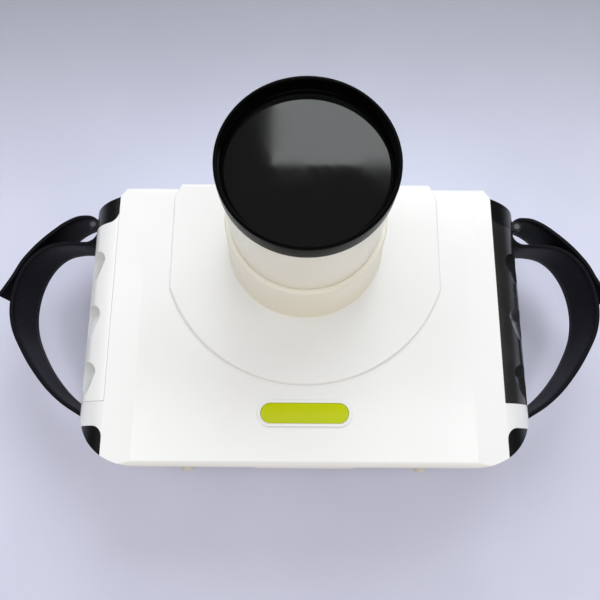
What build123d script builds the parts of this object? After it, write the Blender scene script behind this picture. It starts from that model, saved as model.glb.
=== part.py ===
from build123d import *
import math
import os

# A hand-held x-ray unit for dental pictures, lying on its back with the beam cone upwards.
# Millimetres. X is across the front face, Y runs up the face, Z is the beam direction.
# The sizes below put Y = 0 in the middle of the front face and Z = 0 at the rear rim.
# Left is the side with X below zero. The last step moves everything along Y to the origin.

# Housing
body_depth = 78.0
face_width = 178.0
face_height = 130.0
body_width = 210.0
wall = 2.5
widest_drop = 21.0  # from the front face down to the widest edge
bevel_share = 0.656  # a point on the rounded bevel, this far from the face's edge to the side
bevel_drop = 8.5
border_drop = 1.5  # the border slopes down to the face's edge
crease_x = 75.0
crease_top_x = 81.0
crease_turn_low = 22.0
crease_turn_high = 45.0
top_edge_inset = 4.0  # the top face stops short of the front face's edge by this
shoulder_past = 0.2  # then steps down to a shoulder behind each bevel
shoulder_drop = 5.0
shoulder_end_drop = 7.8
top_corner_radius = 3.5
shoulder_radius = 2.0
side_corner_radius = 3.0
bottom_corner_radius = 33.0
front_edge_radius = 3.0
rear_edge_radius = 2.8
smallest_fillet = 0.5
parting_drop = 24.0  # from the front face down to the seam between the two shells

# Working sizes for cuts and joins, which leave no mark on the finished pieces
beyond = 20.0  # past the whole body
past = 1.0  # a cut runs this far past the surface that it opens
bite = 0.5  # a boss or pad sinks this far into the wall that it grows from

# Raised plateau and the swell over the top face, both round the beam
beam_y = 36.5
plateau_radius = 66.3
plateau_width = 125.0
plateau_rise = 1.5
plateau_edge_radius = 1.2
plateau_top_wrap = 1.0
swell_radius = 37.2
swell_straight_start = 30.0
swell_rear_start = 8.0
swell_rear_radius = 27.0

# Cone, end ring and window
neck_base_radius = 35.5
neck_top_radius = 34.0
neck_height = 34.0  # above the front face
neck_flare = 0.6
neck_lip = 1.0
neck_bore_radius = 28.0
tube_radius = 31.5
tube_bore_radius = 28.5
tube_fit = 0.2
tube_seat_height = 20.0  # above the front face
cone_ring_height = 8.65
cone_height = 84.65  # above the front face, to the rim of the ring
ring_radius = 32.0
ring_rim = 1.6
ring_taper = 0.4
ring_edge_radius = 0.7
ring_lip = 1.1
ring_lip_rise = 0.5
window_thickness = 2.0
window_radius = 30.0
window_fit = 0.2
beam_hole_radius = 20.0
neck_screw_count = 4
neck_screw_radius = 1.5
neck_screw_length = 12.0
neck_screw_head_radius = 2.8
neck_screw_head_height = 2.0

# Grip panels, corner guards and finger grooves in the bevel
skin_thickness = 3.0
skin_gap = 0.15
skin_backing = 2.0
grip_bottom = -36.9
guard_top_line = 48.0
guard_bottom_line = -47.8
guard_corner_radius = 5.0
groove_count = 3
groove_pitch = 26.8
groove_top = 37.4
groove_length = 18.0
groove_depth = 2.2
groove_radius = 60.0
groove_end_radius = 8.0
groove_middle_inset = 4.1  # the deepest point, on the bevel, in from the widest edge
groove_middle_drop = 10.3
groove_lean = 35.0  # degrees from straight out towards the front
groove_fade = 0.1

# Badge
badge_width = 41.5
badge_height = 11.6
badge_y = -42.0
badge_rim = 1.3
badge_rise = 0.8
badge_sink = 0.8
badge_floor = 0.4
badge_fit = 0.1
badge_plate_drop = 0.5

# Straps and their brackets
strap_width = 28.0
strap_thickness = 2.0
strap_middle_drop = 42.0  # from the front face down to the middle of the band
bracket_base = 0.8
bracket_ear = 2.0
bracket_gap = 0.5
bracket_height = 7.0
bracket_drop = 3.0  # of the base's middle below the bar
bracket_seat = 2.0  # the base is cut to the shell's side from this far inside it
bracket_fit = 0.05
lug_radius = 2.4
bar_radius = 1.4
loop_radius = 6.95
upper_loop_y = 54.25
upper_bar_lift = 1.2  # of the bar above the middle of the fold
lower_bar_y = -42.2
lower_bar_depth = 4.0  # inside the widest edge
lower_lead = 30.0  # degrees by which the strap leaves the slot upwards
slot_gap = 0.5
slot_wall = 2.0
slot_bar_grip = 1.5
slot_mouth = 3.0  # more room above the bar, where the strap comes out
strap_wall_gap = 0.3
strap_eye_gap = 0.3

# Bottom face
foot_spacing = 114.0
foot_radius = 3.0
foot_length = 2.8
foot_sink = 1.0
foot_fit = 0.1
foot_drop = 40.0
tripod_plate_width = 48.0
tripod_plate_depth = 40.0
tripod_plate_rise = 1.0
tripod_plate_corner = 3.0
tripod_drop = 48.0  # from the front face down to the bush
tripod_bore_radius = 2.6
tripod_bore_length = 9.0
bush_radius = 5.0
bush_flange_radius = 8.0
bush_flange_height = 2.0
bush_end = 1.5

# Rear panel
recess_width = 150.0
recess_height = 96.0
recess_depth = 2.0
recess_radius = 8.0
window_width = 66.0
window_height = 40.0
window_y = 17.0
display_thickness = 1.5
display_edge = 3.0
display_fit = 0.2
display_corner = 2.0
lcd_width = 64.0
lcd_height = 38.0
key_width = 16.0
key_height = 9.0
key_columns = 3
key_rows = 2
key_pitch_x = 25.0
key_pitch_y = 15.0
key_row_y = -16.0
key_gap = 0.3
key_corner = 1.7
key_stand = 1.2
key_flange = 1.2
key_flange_thickness = 1.0
key_travel = 0.6
key_rest_gap = 0.1
key_stop_gap = 0.05
key_switch_size = 6.0
board_gap = 3.7  # between the rear wall and the panel board
board_thickness = 1.6
panel_board_side = 3.0  # past the display window on each side
panel_board_foot = 11.5  # below the lowest row of keys
panel_post_radius = 2.0
panel_post_below_window = 5.0
lamp_radius = 2.0
lamp_flange = 0.8
lamp_flange_thickness = 1.2
lamp_stand = 0.6
lamp_x = 39.0
buzzer_radius = 5.0
buzzer_height = 3.0
buzzer_inset = 9.0

# Top buttons
button_inset = 35.5
button_z = 30.0
exposure_radius = 8.2
exposure_travel = 2.0
power_radius = 5.5
power_travel = 1.5
button_rise = 1.6
button_crown = 1.0
button_disc_extra = 0.8
button_disc_thickness = 3.0
button_running_gap = 0.3
button_rest_gap = 0.2
button_stop_gap = 0.1
collar_wall = 1.2
collar_lip = 1.0
collar_flange = 2.0
collar_floor = 1.0
collar_depth = 11.0
button_stem_radius = 2.0
switch_size = 14.0
switch_height = 10.0
switch_pocket = 4.0
switch_pocket_gap = 0.6

# Charging socket and its flap, in the bottom face
socket_x = 40.0
socket_z = 30.0
flap_width = 15.0
flap_length = 14.0
flap_thickness = 1.8
flap_gap = 0.3
hinge_radius = 1.1
hinge_pin_radius = 0.6
hinge_fit = 0.05
hinge_pin_sink = 1.8
hinge_pin_end_gap = 0.1
socket_width = 10.0
socket_depth = 9.0
socket_length = 10.0
socket_shift = 1.0
socket_floor = 1.5
socket_pin_radius = 1.0
socket_hole_radius = 2.8

# Tube head
tank_width = 72.0
tank_bottom = -2.0
tank_top = 61.0
tank_rear = 14.0
tank_depth = 46.0
tank_wall = 3.0
gasket_thickness = 0.8
cover_thickness = 2.7
tank_post_radius = 3.0
tank_post_inset = 1.5
tank_screw_grip = 7.0
gasket_rim = 8.0
ear_width = 10.0
ear_height = 10.0
ear_thickness = 3.0
ear_rear = 26.0
ear_low_y = 10.0
ear_high_y = 50.0
ear_screw_length = 12.0
glass_radius = 12.5
glass_wall = 1.5
glass_length = 58.0
xray_tube_depth = 24.0  # from the tank's rear face to the tube's axis
cradle_thickness = 4.0
cradle_half_height = 9.0
cradle_inset = 6.0
anode_radius = 7.0
anode_length = 26.0
target_angle = 20.0
cathode_radius = 5.0
cathode_length = 18.0
end_disc = 4.0
tube_part_fit = 0.1
coil_width = 52.0
coil_height = 18.0
coil_depth = 32.0
coil_gap = 1.0
collimator_radius = 22.0
collimator_bore = 12.0
filter_thickness = 1.5
cover_hole_radius = 10.0

# Batteries and boards
cell_radius = 9.1
cell_length = 65.0
cell_inset = 33.0
cell_z = 33.5
cell_pitch = 19.0
cell_fit = 0.3
cell_y = -2.5
tray_wall = 1.8
tray_leg_radius = 4.0
tray_leg_inset = 12.0
main_board_inset = 36.0
main_board_width = 42.0
main_board_height = 90.0
main_board_rear = 20.0
inverter_rear = 40.0
standoff_radius = 3.0
standoff_inset = 4.0
screw_hole_spare = 2.0  # a screw's hole is this much deeper than the screw
screw_radius = 1.5
screw_head_radius = 2.8
screw_head_height = 2.0
screw_fit = 0.2
thread_fit = 0.02
boss_radius = 4.5
boss_top_inset = 51.0
boss_top_drop = 11.0
boss_bottom_inset = 39.0
boss_bottom_rise = 14.0
case_screw_grip = 8.0
case_screw_sink = 6.0

side_x = body_width / 2
face_x = face_width / 2
face_y = face_height / 2
top_edge_x = face_x - top_edge_inset
shoulder_x = face_x + shoulder_past
shoulder_y = face_y - shoulder_drop
shoulder_end_y = face_y - shoulder_end_drop
boss_top_x = side_x - boss_top_inset
boss_bottom_x = side_x - boss_bottom_inset
boss_top_y = face_y - boss_top_drop
boss_bottom_y = -face_y + boss_bottom_rise
button_x = side_x - button_inset
cell_x = -side_x + cell_inset
main_board_x = side_x - main_board_inset
parting_z = body_depth - parting_drop
plateau_z = body_depth + plateau_rise
ring_top_z = body_depth + cone_height
ring_z = ring_top_z - cone_ring_height
window_z = ring_z + window_thickness
rear_wall_z = recess_depth + wall
strap_z = body_depth - strap_middle_drop
board_z = rear_wall_z + board_gap
foot_z = body_depth - foot_drop
lowest_y = -face_y - foot_length
highest_y = beam_y + swell_radius
to_origin = -(lowest_y + highest_y) / 2


def cylinder_x(radius, x0, x1, y, z):
    return Pos((x0 + x1) / 2, y, z) * Rot(0, 90, 0) * Cylinder(radius, abs(x1 - x0))


def cylinder_y(radius, y0, y1, x, z):
    return Pos(x, (y0 + y1) / 2, z) * Rot(90, 0, 0) * Cylinder(radius, abs(y1 - y0))


def cylinder_z(radius, z0, z1, x=0, y=0):
    return Pos(x, y, (z0 + z1) / 2) * Cylinder(radius, abs(z1 - z0))


def block(x0, x1, y0, y1, z0, z1):
    return Pos((x0 + x1) / 2, (y0 + y1) / 2, (z0 + z1) / 2) * Box(x1 - x0, y1 - y0, z1 - z0)


def joined(pieces):
    whole = pieces[0]
    for piece in pieces[1:]:
        whole = whole + piece
    return whole


def mirrored(shape):
    return mirror(shape, about=Plane.YZ)


def turned_profile(points, x=0, y=0):
    # A solid of revolution about a line along Z, from (radius, z) points.
    outline = make_face(Polyline(*points, close=True))
    return Pos(x, y, 0) * revolve(Plane.XZ * outline, Axis.Z)


def rounded_plate(width, height, radius, x, y, z0, z1):
    return Pos(x, y, z0) * extrude(RectangleRounded(width, height, radius), z1 - z0)


# The housing's outer form, or the same form drawn in by an inset.
def section_across(inset):
    # Seen along Y: upright side, rounded bevel, sloped border, flat front.
    edge = (face_x, body_depth - border_drop)
    widest = (side_x, body_depth - widest_drop)
    bevel = (face_x + bevel_share * (side_x - face_x), body_depth - bevel_drop)
    half = [
        Line((0, 0), (side_x, 0)),
        Line((side_x, 0), widest),
        ThreePointArc(widest, bevel, edge),
        Line(edge, (crease_top_x, body_depth)),
        Line((crease_top_x, body_depth), (0, body_depth)),
    ]
    right = make_face(Wire(half + [Line((0, body_depth), (0, 0))]))
    outline = right + mirror(right, about=Plane.YZ)
    if inset > 0:
        outline = offset(outline, -inset, kind=Kind.INTERSECTION)
    return Plane.XZ * outline


def outline_from_front(inset):
    right = make_face(Polyline(
        (0, face_y), (top_edge_x, face_y), (shoulder_x, shoulder_y), (side_x, shoulder_end_y),
        (side_x, -face_y), (0, -face_y), (0, face_y),
    ))
    plate = right + mirror(right, about=Plane.YZ)

    def rounded(x, y, radius):
        ends = [plate.vertices().sort_by_distance(Vector(side * x, y, 0))[0] for side in (-1, 1)]
        return fillet(ends, radius)

    plate = rounded(top_edge_x, face_y, top_corner_radius)
    plate = rounded(shoulder_x, shoulder_y, shoulder_radius)
    plate = rounded(side_x, shoulder_end_y, side_corner_radius)
    plate = rounded(side_x, -face_y, bottom_corner_radius)
    if inset > 0:
        plate = offset(plate, -inset, kind=Kind.INTERSECTION)
    return plate


def section_along(inset):
    plate = Pos(0, body_depth / 2) * Rectangle(face_height, body_depth)
    front = plate.vertices().group_by(Axis.Y)[-1]
    plate = fillet(front, front_edge_radius)
    if inset > 0:
        plate = offset(plate, -inset, kind=Kind.INTERSECTION)
    return Plane.YZ * plate


def swell(inset):
    radius = swell_radius - inset
    start = swell_straight_start
    cone_points = [
        (0, swell_rear_start),
        (swell_rear_radius - inset, swell_rear_start),
        (radius, start),
        (radius, body_depth - inset),
        (0, body_depth - inset),
    ]
    return turned_profile(cone_points, 0, beam_y)


def hull(inset):
    across = extrude(section_across(inset), face_height, both=True)
    front = extrude(outline_from_front(inset), body_depth * 2)
    along = extrude(section_along(inset), body_width, both=True)
    body = across & front & along
    rear_round = rear_edge_radius - inset
    if rear_round > smallest_fillet:
        body = fillet(body.edges().group_by(Axis.Z)[0], rear_round)
    return body + swell(inset)


def border_cut():
    # The border's slope starts nearer the middle below the turn in its crease line.
    far_x = face_x + front_edge_radius
    stations = [
        (-face_y - beyond, crease_x),
        (crease_turn_low, crease_x),
        (crease_turn_high, crease_top_x),
        (face_y + beyond, crease_top_x),
    ]
    sections = []
    for y, x in stations:
        drop = border_drop * (far_x - x) / (face_x - x)
        corners = [
            (x, y, body_depth),
            (far_x, y, body_depth - drop),
            (far_x, y, body_depth + past),
            (x, y, body_depth + past),
        ]
        sections.append(make_face(Polyline(*corners, close=True)))
    right = loft(sections, ruled=True)
    return right + mirrored(right)


def finger_grooves():
    # Each groove has a sharp upper end and fades out below.
    out = groove_radius - groove_depth
    lean_angle = math.radians(groove_lean)
    axis_x = side_x - groove_middle_inset + out * math.cos(lean_angle)
    axis_z = body_depth - groove_middle_drop + out * math.sin(lean_angle)
    low_radius = groove_radius - groove_depth - groove_fade
    grooves = []
    for number in range(groove_count):
        top = groove_top - number * groove_pitch
        shoulder = top - groove_end_radius
        low = top - groove_length
        lean = groove_end_radius * (1 - math.sqrt(0.5))
        outline = make_face(Wire([
            Line((0, top), (groove_radius - groove_end_radius, top)),
            ThreePointArc(
                (groove_radius - groove_end_radius, top),
                (groove_radius - lean, top - lean),
                (groove_radius, shoulder),
            ),
            Line((groove_radius, shoulder), (low_radius, low)),
            Line((low_radius, low), (0, low)),
            Line((0, low), (0, top)),
        ]))
        grooves.append(Pos(axis_x, 0, axis_z) * revolve(outline, Axis.Y))
    right = joined(grooves)
    return right + mirrored(right)


outer = hull(0) - border_cut() - finger_grooves()
inner = hull(wall)
skin_inner = hull(skin_thickness)
pocket_inner = hull(skin_thickness + skin_gap)
backing_inner = hull(skin_thickness + skin_gap + skin_backing)
room_x = side_x + beyond
room_y = face_y + beyond
front_room = block(-room_x, room_x, -room_y, room_y, parting_z, body_depth + beyond)
rear_room = block(-room_x, room_x, -room_y, room_y, -beyond, parting_z)


# Grip panels and corner guards: skins let into the bevel of the front shell.
def guard_region(line, outward, grow):
    # Everything past the line, with one rounded corner where it meets the face's edge.
    corner = guard_corner_radius + grow
    start = line - outward * grow
    end = outward * room_y
    x0 = face_x - grow
    plate = Pos((x0 + room_x) / 2, (start + end) / 2) * Rectangle(room_x - x0, abs(end - start))
    near = plate.vertices().sort_by_distance(Vector(x0, start, 0))[0]
    plate = fillet(near, corner)
    return Pos(0, 0, parting_z) * extrude(plate, parting_drop + past)


def skin_regions(grow):
    top_guard = guard_region(guard_top_line, 1, grow)
    bottom_guard = guard_region(guard_bottom_line, -1, grow)
    grip = block(
        face_x - grow, room_x,
        grip_bottom - grow, guard_top_line + guard_corner_radius,
        parting_z, body_depth + past,
    )
    return grip, top_guard, bottom_guard


def save(name, shape):
    export_step(Pos(0, to_origin, 0) * shape, "parts/" + name + ".step")


def save_set(name, pieces):
    placed = [Pos(0, to_origin, 0) * piece for piece in pieces]
    export_step(Compound(children=placed), "parts/" + name + ".step")


os.makedirs("parts", exist_ok=True)

grip_region, top_region, bottom_region = skin_regions(0)
grip_pocket, top_pocket, bottom_pocket = skin_regions(skin_gap)
skin = (outer - skin_inner) & front_room
top_guard = skin & top_region
bottom_guard = skin & bottom_region
grip_panel = (skin & grip_region) - top_pocket
save("grip_panel_right", grip_panel)
save("grip_panel_left", mirrored(grip_panel))
save("corner_guard_top_right", top_guard)
save("corner_guard_top_left", mirrored(top_guard))
save("corner_guard_bottom_right", bottom_guard)
save("corner_guard_bottom_left", mirrored(bottom_guard))


# Front shell
def plateau(grow_down):
    disc = Pos(0, beam_y) * Circle(plateau_radius)
    upper = face_y + plateau_top_wrap
    lower = beam_y - plateau_radius - past
    limit = Pos(0, (upper + lower) / 2) * Rectangle(plateau_width, upper - lower)
    slab = Pos(0, 0, body_depth - grow_down) * extrude(disc & limit, grow_down + plateau_rise)
    rim = slab.faces().sort_by(Axis.Z)[-1].edges()
    slab = fillet(rim, plateau_edge_radius)
    round_pad = cylinder_z(swell_radius, body_depth - grow_down, plateau_z, 0, beam_y)
    return slab + round_pad


def case_screw_places():
    top = [(side * boss_top_x, boss_top_y) for side in (-1, 1)]
    return top + [(side * boss_bottom_x, boss_bottom_y) for side in (-1, 1)]


def neck_screw_places():
    places = []
    pitch_radius = (neck_bore_radius + neck_base_radius) / 2
    for number in range(neck_screw_count):
        angle = math.radians((number + 0.5) * 360 / neck_screw_count)
        places.append((pitch_radius * math.cos(angle), beam_y + pitch_radius * math.sin(angle)))
    return places


def badge_oval(inset, z0, z1):
    height = badge_height - 2 * inset
    width = badge_width - 2 * inset
    return Pos(0, badge_y, z0) * extrude(SlotOverall(width, height), z1 - z0)


pockets = (outer - pocket_inner) & (grip_pocket + top_pocket + bottom_pocket)
backing_room = block(
    face_x - skin_gap - skin_backing, room_x, -room_y, room_y, parting_z, body_depth
)
backing = (outer - backing_inner) & backing_room
front_inside = body_depth - wall
front_shell = (outer - inner) & front_room
front_shell = front_shell + backing + mirrored(backing)
front_shell = front_shell + (plateau(parting_drop) - hull(wall))
front_shell = front_shell - pockets - mirrored(pockets)
front_shell = front_shell - cylinder_z(beam_hole_radius, 0, plateau_z + past, 0, beam_y)
for x, y in case_screw_places():
    boss = cylinder_z(boss_radius, parting_z, front_inside + bite, x, y)
    pilot_end = parting_z + case_screw_grip + screw_hole_spare
    pilot = cylinder_z(screw_radius + thread_fit, parting_z - past, pilot_end, x, y)
    front_shell = front_shell + boss - pilot
for x, y in neck_screw_places():
    hole = neck_screw_radius + screw_fit
    front_shell = front_shell - cylinder_z(hole, front_inside - past, plateau_z + past, x, y)
badge_z = body_depth - badge_sink
front_shell = front_shell - badge_oval(-badge_fit, badge_z, body_depth + past)
save("front_shell", front_shell)

badge_top = body_depth + badge_rise
badge_frame = badge_oval(0, badge_z, badge_top)
badge_frame = badge_frame - badge_oval(badge_rim, badge_z + badge_floor, badge_top + past)
save("badge_frame", badge_frame)
badge_plate = badge_oval(badge_rim + badge_fit, badge_z + badge_floor, badge_top - badge_plate_drop)
save("badge_plate", badge_plate)

# Cone: neck, tube, window and end ring
neck_z = body_depth + neck_height
seat_z = body_depth + tube_seat_height
neck = turned_profile([
    (neck_bore_radius, plateau_z),
    (neck_base_radius, plateau_z),
    (neck_top_radius, neck_z - neck_lip),
    (neck_top_radius - neck_lip, neck_z),
    (tube_radius + tube_fit, neck_z),
    (tube_radius + tube_fit, seat_z),
    (neck_bore_radius, seat_z),
], 0, beam_y)
flare = turned_profile([
    (neck_base_radius - neck_flare, plateau_z),
    (neck_base_radius + neck_flare, plateau_z),
    (neck_base_radius - neck_flare, plateau_z + 2 * neck_flare),
], 0, beam_y)
neck = neck + flare
neck_screw_top = front_inside + neck_screw_length
for x, y in neck_screw_places():
    hole_end = neck_screw_top + screw_hole_spare
    neck = neck - cylinder_z(neck_screw_radius + thread_fit, plateau_z - past, hole_end, x, y)
save("cone_neck", neck)

tube = turned_profile([
    (tube_bore_radius, seat_z),
    (tube_radius, seat_z),
    (tube_radius, ring_z),
    (tube_bore_radius, ring_z),
], 0, beam_y)
save("cone_tube", tube)
window = cylinder_z(window_radius, ring_z, window_z, 0, beam_y)
save("beam_window", window)
ring_mouth = ring_radius - ring_rim
lip_radius = window_radius - ring_lip
lip_z = window_z + ring_lip_rise
ring = turned_profile([
    (lip_radius, window_z),
    (window_radius + window_fit, window_z),
    (window_radius + window_fit, ring_z),
    (ring_radius, ring_z),
    (ring_radius, ring_top_z),
    (ring_mouth, ring_top_z),
    (ring_mouth - ring_taper, lip_z),
    (lip_radius, lip_z),
], 0, beam_y)
rim_edges = ring.edges().group_by(Axis.Z)[-1]
ring = fillet(rim_edges, ring_edge_radius)
save("cone_end_ring", ring)


def neck_screw(x, y):
    head_z = front_inside - neck_screw_head_height
    shank = cylinder_z(neck_screw_radius, front_inside, neck_screw_top, x, y)
    return shank + cylinder_z(neck_screw_head_radius, head_z, front_inside, x, y)


save_set("neck_screws", [neck_screw(x, y) for x, y in neck_screw_places()])

# Back shell
recess_pad = block(
    -recess_width / 2 - wall, recess_width / 2 + wall,
    -recess_height / 2 - wall, recess_height / 2 + wall,
    wall - bite, rear_wall_z,
)
back_shell = ((outer - inner) & rear_room) + recess_pad
back_shell = back_shell - rounded_plate(
    recess_width, recess_height, recess_radius, 0, 0, -past, recess_depth
)
display_cut = rounded_plate(
    window_width + 2 * display_fit, window_height + 2 * display_fit, display_corner, 0, window_y,
    recess_depth - past, recess_depth + display_thickness,
)
display_opening = rounded_plate(
    window_width - 2 * display_edge, window_height - 2 * display_edge, display_corner, 0, window_y,
    0, rear_wall_z + past,
)
back_shell = back_shell - display_cut - display_opening


def key_places():
    first_x = -(key_columns - 1) / 2 * key_pitch_x
    return [
        (first_x + column * key_pitch_x, key_row_y - row * key_pitch_y)
        for row in range(key_rows)
        for column in range(key_columns)
    ]


for x, y in key_places():
    opening = rounded_plate(
        key_width + 2 * key_gap, key_height + 2 * key_gap, key_corner + key_gap, x, y,
        0, rear_wall_z + past,
    )
    back_shell = back_shell - opening
lamp_y = key_row_y
lamp_hole = cylinder_z(lamp_radius + display_fit, 0, rear_wall_z + past, lamp_x, lamp_y)
back_shell = back_shell - lamp_hole

# Case screws go in from the rear and end in the front shell's bosses.
for x, y in case_screw_places():
    boss = cylinder_z(boss_radius, wall - bite, parting_z, x, y)
    shank_hole = cylinder_z(screw_radius + screw_fit, -past, parting_z + past, x, y)
    head_hole = cylinder_z(screw_head_radius + screw_fit, -past, case_screw_sink, x, y)
    back_shell = back_shell + boss - shank_hole - head_hole


def case_screw(x, y):
    head = cylinder_z(
        screw_head_radius, case_screw_sink - screw_head_height, case_screw_sink, x, y
    )
    return head + cylinder_z(screw_radius, case_screw_sink, parting_z + case_screw_grip, x, y)


save_set("case_screws", [case_screw(x, y) for x, y in case_screw_places()])


# Strap places, then a slot in each side of the back shell, where the strap's lower end goes
# round a bar, and posts inside for the tube head and the boards
loop_x = -(side_x + bracket_base + strap_wall_gap + strap_thickness / 2 + loop_radius)
upper_bar_x = loop_x + loop_radius - strap_thickness / 2 - bar_radius - strap_eye_gap
upper_bar_y = upper_loop_y + upper_bar_lift
eye_radius = bar_radius + strap_eye_gap + strap_thickness
lower_bar_x = -side_x + lower_bar_depth
band_low = strap_z - strap_width / 2
band_high = strap_z + strap_width / 2
slot_bar_low = band_low - slot_gap - slot_bar_grip
slot_bar_high = band_high + slot_gap + slot_bar_grip


def strap_slot(grow):
    # The slot's own shape, or with a wall's thickness the box round it
    reach = eye_radius + slot_gap + grow
    return block(
        -side_x - past, lower_bar_x + reach, lower_bar_y - reach, lower_bar_y + reach + slot_mouth,
        band_low - slot_gap - grow, band_high + slot_gap + grow,
    )


def tank_ear_places():
    ear_x = tank_width / 2 + ear_width / 2
    return [(side * ear_x, y) for side in (-1, 1) for y in (ear_low_y, ear_high_y)]


def board_corner_places():
    half_w = main_board_width / 2 - standoff_inset
    half_h = main_board_height / 2 - standoff_inset
    return [
        (main_board_x + a * half_w, b * half_h) for a in (-1, 1) for b in (-1, 1)
    ]


def panel_board_places():
    half_w = panel_board_width / 2 - standoff_inset
    upper = window_y - window_height / 2 - panel_post_below_window
    lower = panel_board_low + standoff_inset
    return [(side * half_w, y) for side in (-1, 1) for y in (upper, lower)]


panel_board_width = window_width + 2 * panel_board_side
panel_board_high = window_y + window_height / 2
lowest_key_y = key_row_y - (key_rows - 1) * key_pitch_y - key_height / 2
panel_board_low = lowest_key_y - panel_board_foot
slot_box = strap_slot(slot_wall) & outer
slot_cut = strap_slot(0)
slot_bar_hole = cylinder_z(
    bar_radius + thread_fit, slot_bar_low, slot_bar_high, lower_bar_x, lower_bar_y
)
back_shell = back_shell + slot_box + mirrored(slot_box)
back_shell = back_shell - slot_cut - mirrored(slot_cut)
back_shell = back_shell - slot_bar_hole - mirrored(slot_bar_hole)
for x, y in tank_ear_places():
    post = cylinder_z(boss_radius, rear_wall_z - bite, ear_rear, x, y)
    pilot_low = ear_rear + ear_thickness - ear_screw_length - screw_hole_spare
    pilot = cylinder_z(screw_radius + thread_fit, pilot_low, ear_rear + past, x, y)
    back_shell = back_shell + post - pilot
for x, y in board_corner_places():
    back_shell = back_shell + cylinder_z(standoff_radius, wall - bite, main_board_rear, x, y)
for x, y in panel_board_places():
    back_shell = back_shell + cylinder_z(panel_post_radius, rear_wall_z - bite, board_z, x, y)


# Round buttons on the top face, each in a collar with its switch snapped under it
def collar_hole(radius, x):
    sleeve = radius + button_disc_extra + button_running_gap + collar_wall + skin_gap
    return cylinder_y(sleeve, face_y - collar_depth, face_y + past, x, button_z)


def button_collar(radius, x):
    bore = radius + button_disc_extra + button_running_gap
    sleeve = cylinder_y(bore + collar_wall, face_y - collar_depth, face_y, x, button_z)
    flange = cylinder_y(
        bore + collar_wall + collar_flange, face_y, face_y + collar_lip, x, button_z
    )
    top = face_y + collar_lip + past
    floor = face_y - collar_depth + collar_floor
    bore_cut = cylinder_y(bore, floor, face_y, x, button_z)
    lip_cut = cylinder_y(radius + button_running_gap, floor, top, x, button_z)
    stem_hole = button_stem_radius + button_running_gap
    stem_cut = cylinder_y(stem_hole, floor - collar_floor - past, top, x, button_z)
    return sleeve + flange - bore_cut - lip_cut - stem_cut


def button_cap(radius, travel, x):
    disc_top = face_y - button_rest_gap
    disc_low = disc_top - button_disc_thickness
    disc = cylinder_y(radius + button_disc_extra, disc_low, disc_top, x, button_z)
    cap = cylinder_y(radius, disc_low, face_y + collar_lip + button_rise, x, button_z)
    stem_low = face_y - collar_depth - switch_pocket + travel + button_stop_gap
    stem = cylinder_y(button_stem_radius, stem_low, disc_low, x, button_z)
    crown = cap.faces().sort_by(Axis.Y)[-1].edges()
    return fillet(crown, button_crown) + disc + stem


def button_switch(x):
    top = face_y - collar_depth
    half = switch_size / 2
    body = block(x - half, x + half, top - switch_height, top, button_z - half, button_z + half)
    pocket = button_stem_radius + switch_pocket_gap
    return body - cylinder_y(pocket, top - switch_pocket, top + past, x, button_z)


for name, radius, travel, x in (
    ("exposure", exposure_radius, exposure_travel, -button_x),
    ("power", power_radius, power_travel, button_x),
):
    back_shell = back_shell - collar_hole(radius, x)
    save(name + "_button_collar", button_collar(radius, x))
    save(name + "_button", button_cap(radius, travel, x))
    save(name + "_switch", button_switch(x))

# Bottom face: feet, tripod plate and bush, charging socket with its flap
bottom_y = -face_y
feet = []
for side in (-1, 1):
    x = side * foot_spacing / 2
    pad = cylinder_y(foot_radius, bottom_y - foot_length, bottom_y + foot_sink, x, foot_z)
    feet.append(pad)
    seat = cylinder_y(foot_radius + foot_fit, bottom_y - past, bottom_y + foot_sink, x, foot_z)
    back_shell = back_shell - seat
save_set("feet", feet)

plate_y = bottom_y - tripod_plate_rise
tripod_z = body_depth - tripod_drop
plate_outline = RectangleRounded(tripod_plate_width, tripod_plate_depth, tripod_plate_corner)
tripod_plate = Pos(0, bottom_y, tripod_z) * extrude(Plane.XZ * plate_outline, tripod_plate_rise)
bush_hole_radius = bush_radius + foot_fit
plate_hole = cylinder_y(bush_hole_radius, plate_y - past, bottom_y + past, 0, tripod_z)
save("tripod_plate", tripod_plate - plate_hole)
bush_top = plate_y + tripod_bore_length + bush_end
flange_y = bottom_y + wall
bush = cylinder_y(bush_radius, plate_y, bush_top, 0, tripod_z)
bush = bush + cylinder_y(bush_flange_radius, flange_y, flange_y + bush_flange_height, 0, tripod_z)
bore_end = plate_y + tripod_bore_length
bush = bush - cylinder_y(tripod_bore_radius, plate_y - past, bore_end, 0, tripod_z)
save("tripod_bush", bush)
wall_hole = cylinder_y(bush_hole_radius, bottom_y - past, flange_y + past, 0, tripod_z)
back_shell = back_shell - wall_hole

# The flap turns about a pin along X near its rear edge.
hinge_y = bottom_y + hinge_radius
hinge_z = socket_z - flap_length / 2 + hinge_radius
flap_high_z = socket_z + flap_length / 2
flap_left = socket_x - flap_width / 2
flap_right = socket_x + flap_width / 2
pocket_y = bottom_y + flap_thickness + flap_gap
flap_pocket = block(
    flap_left - flap_gap, flap_right + flap_gap, bottom_y - past, pocket_y,
    hinge_z - hinge_radius - flap_gap, flap_high_z + flap_gap,
)
knuckle_room = cylinder_x(
    hinge_radius + flap_gap, flap_left - flap_gap, flap_right + flap_gap, hinge_y, hinge_z
)
pocket_backing = block(
    flap_left - wall, flap_right + wall, bottom_y + bite, pocket_y + wall,
    hinge_z - hinge_radius - wall, flap_high_z + wall,
)
pin_left = flap_left - hinge_pin_sink
pin_right = flap_right + hinge_pin_sink
pin_hole = cylinder_x(
    hinge_pin_radius + thread_fit, pin_left - hinge_pin_end_gap, pin_right + hinge_pin_end_gap,
    hinge_y, hinge_z,
)
back_shell = back_shell + pocket_backing - flap_pocket - knuckle_room - pin_hole
socket_half = socket_width / 2
socket_low = pocket_y
socket_middle = socket_z + socket_shift
socket_rise = socket_depth / 2
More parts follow.
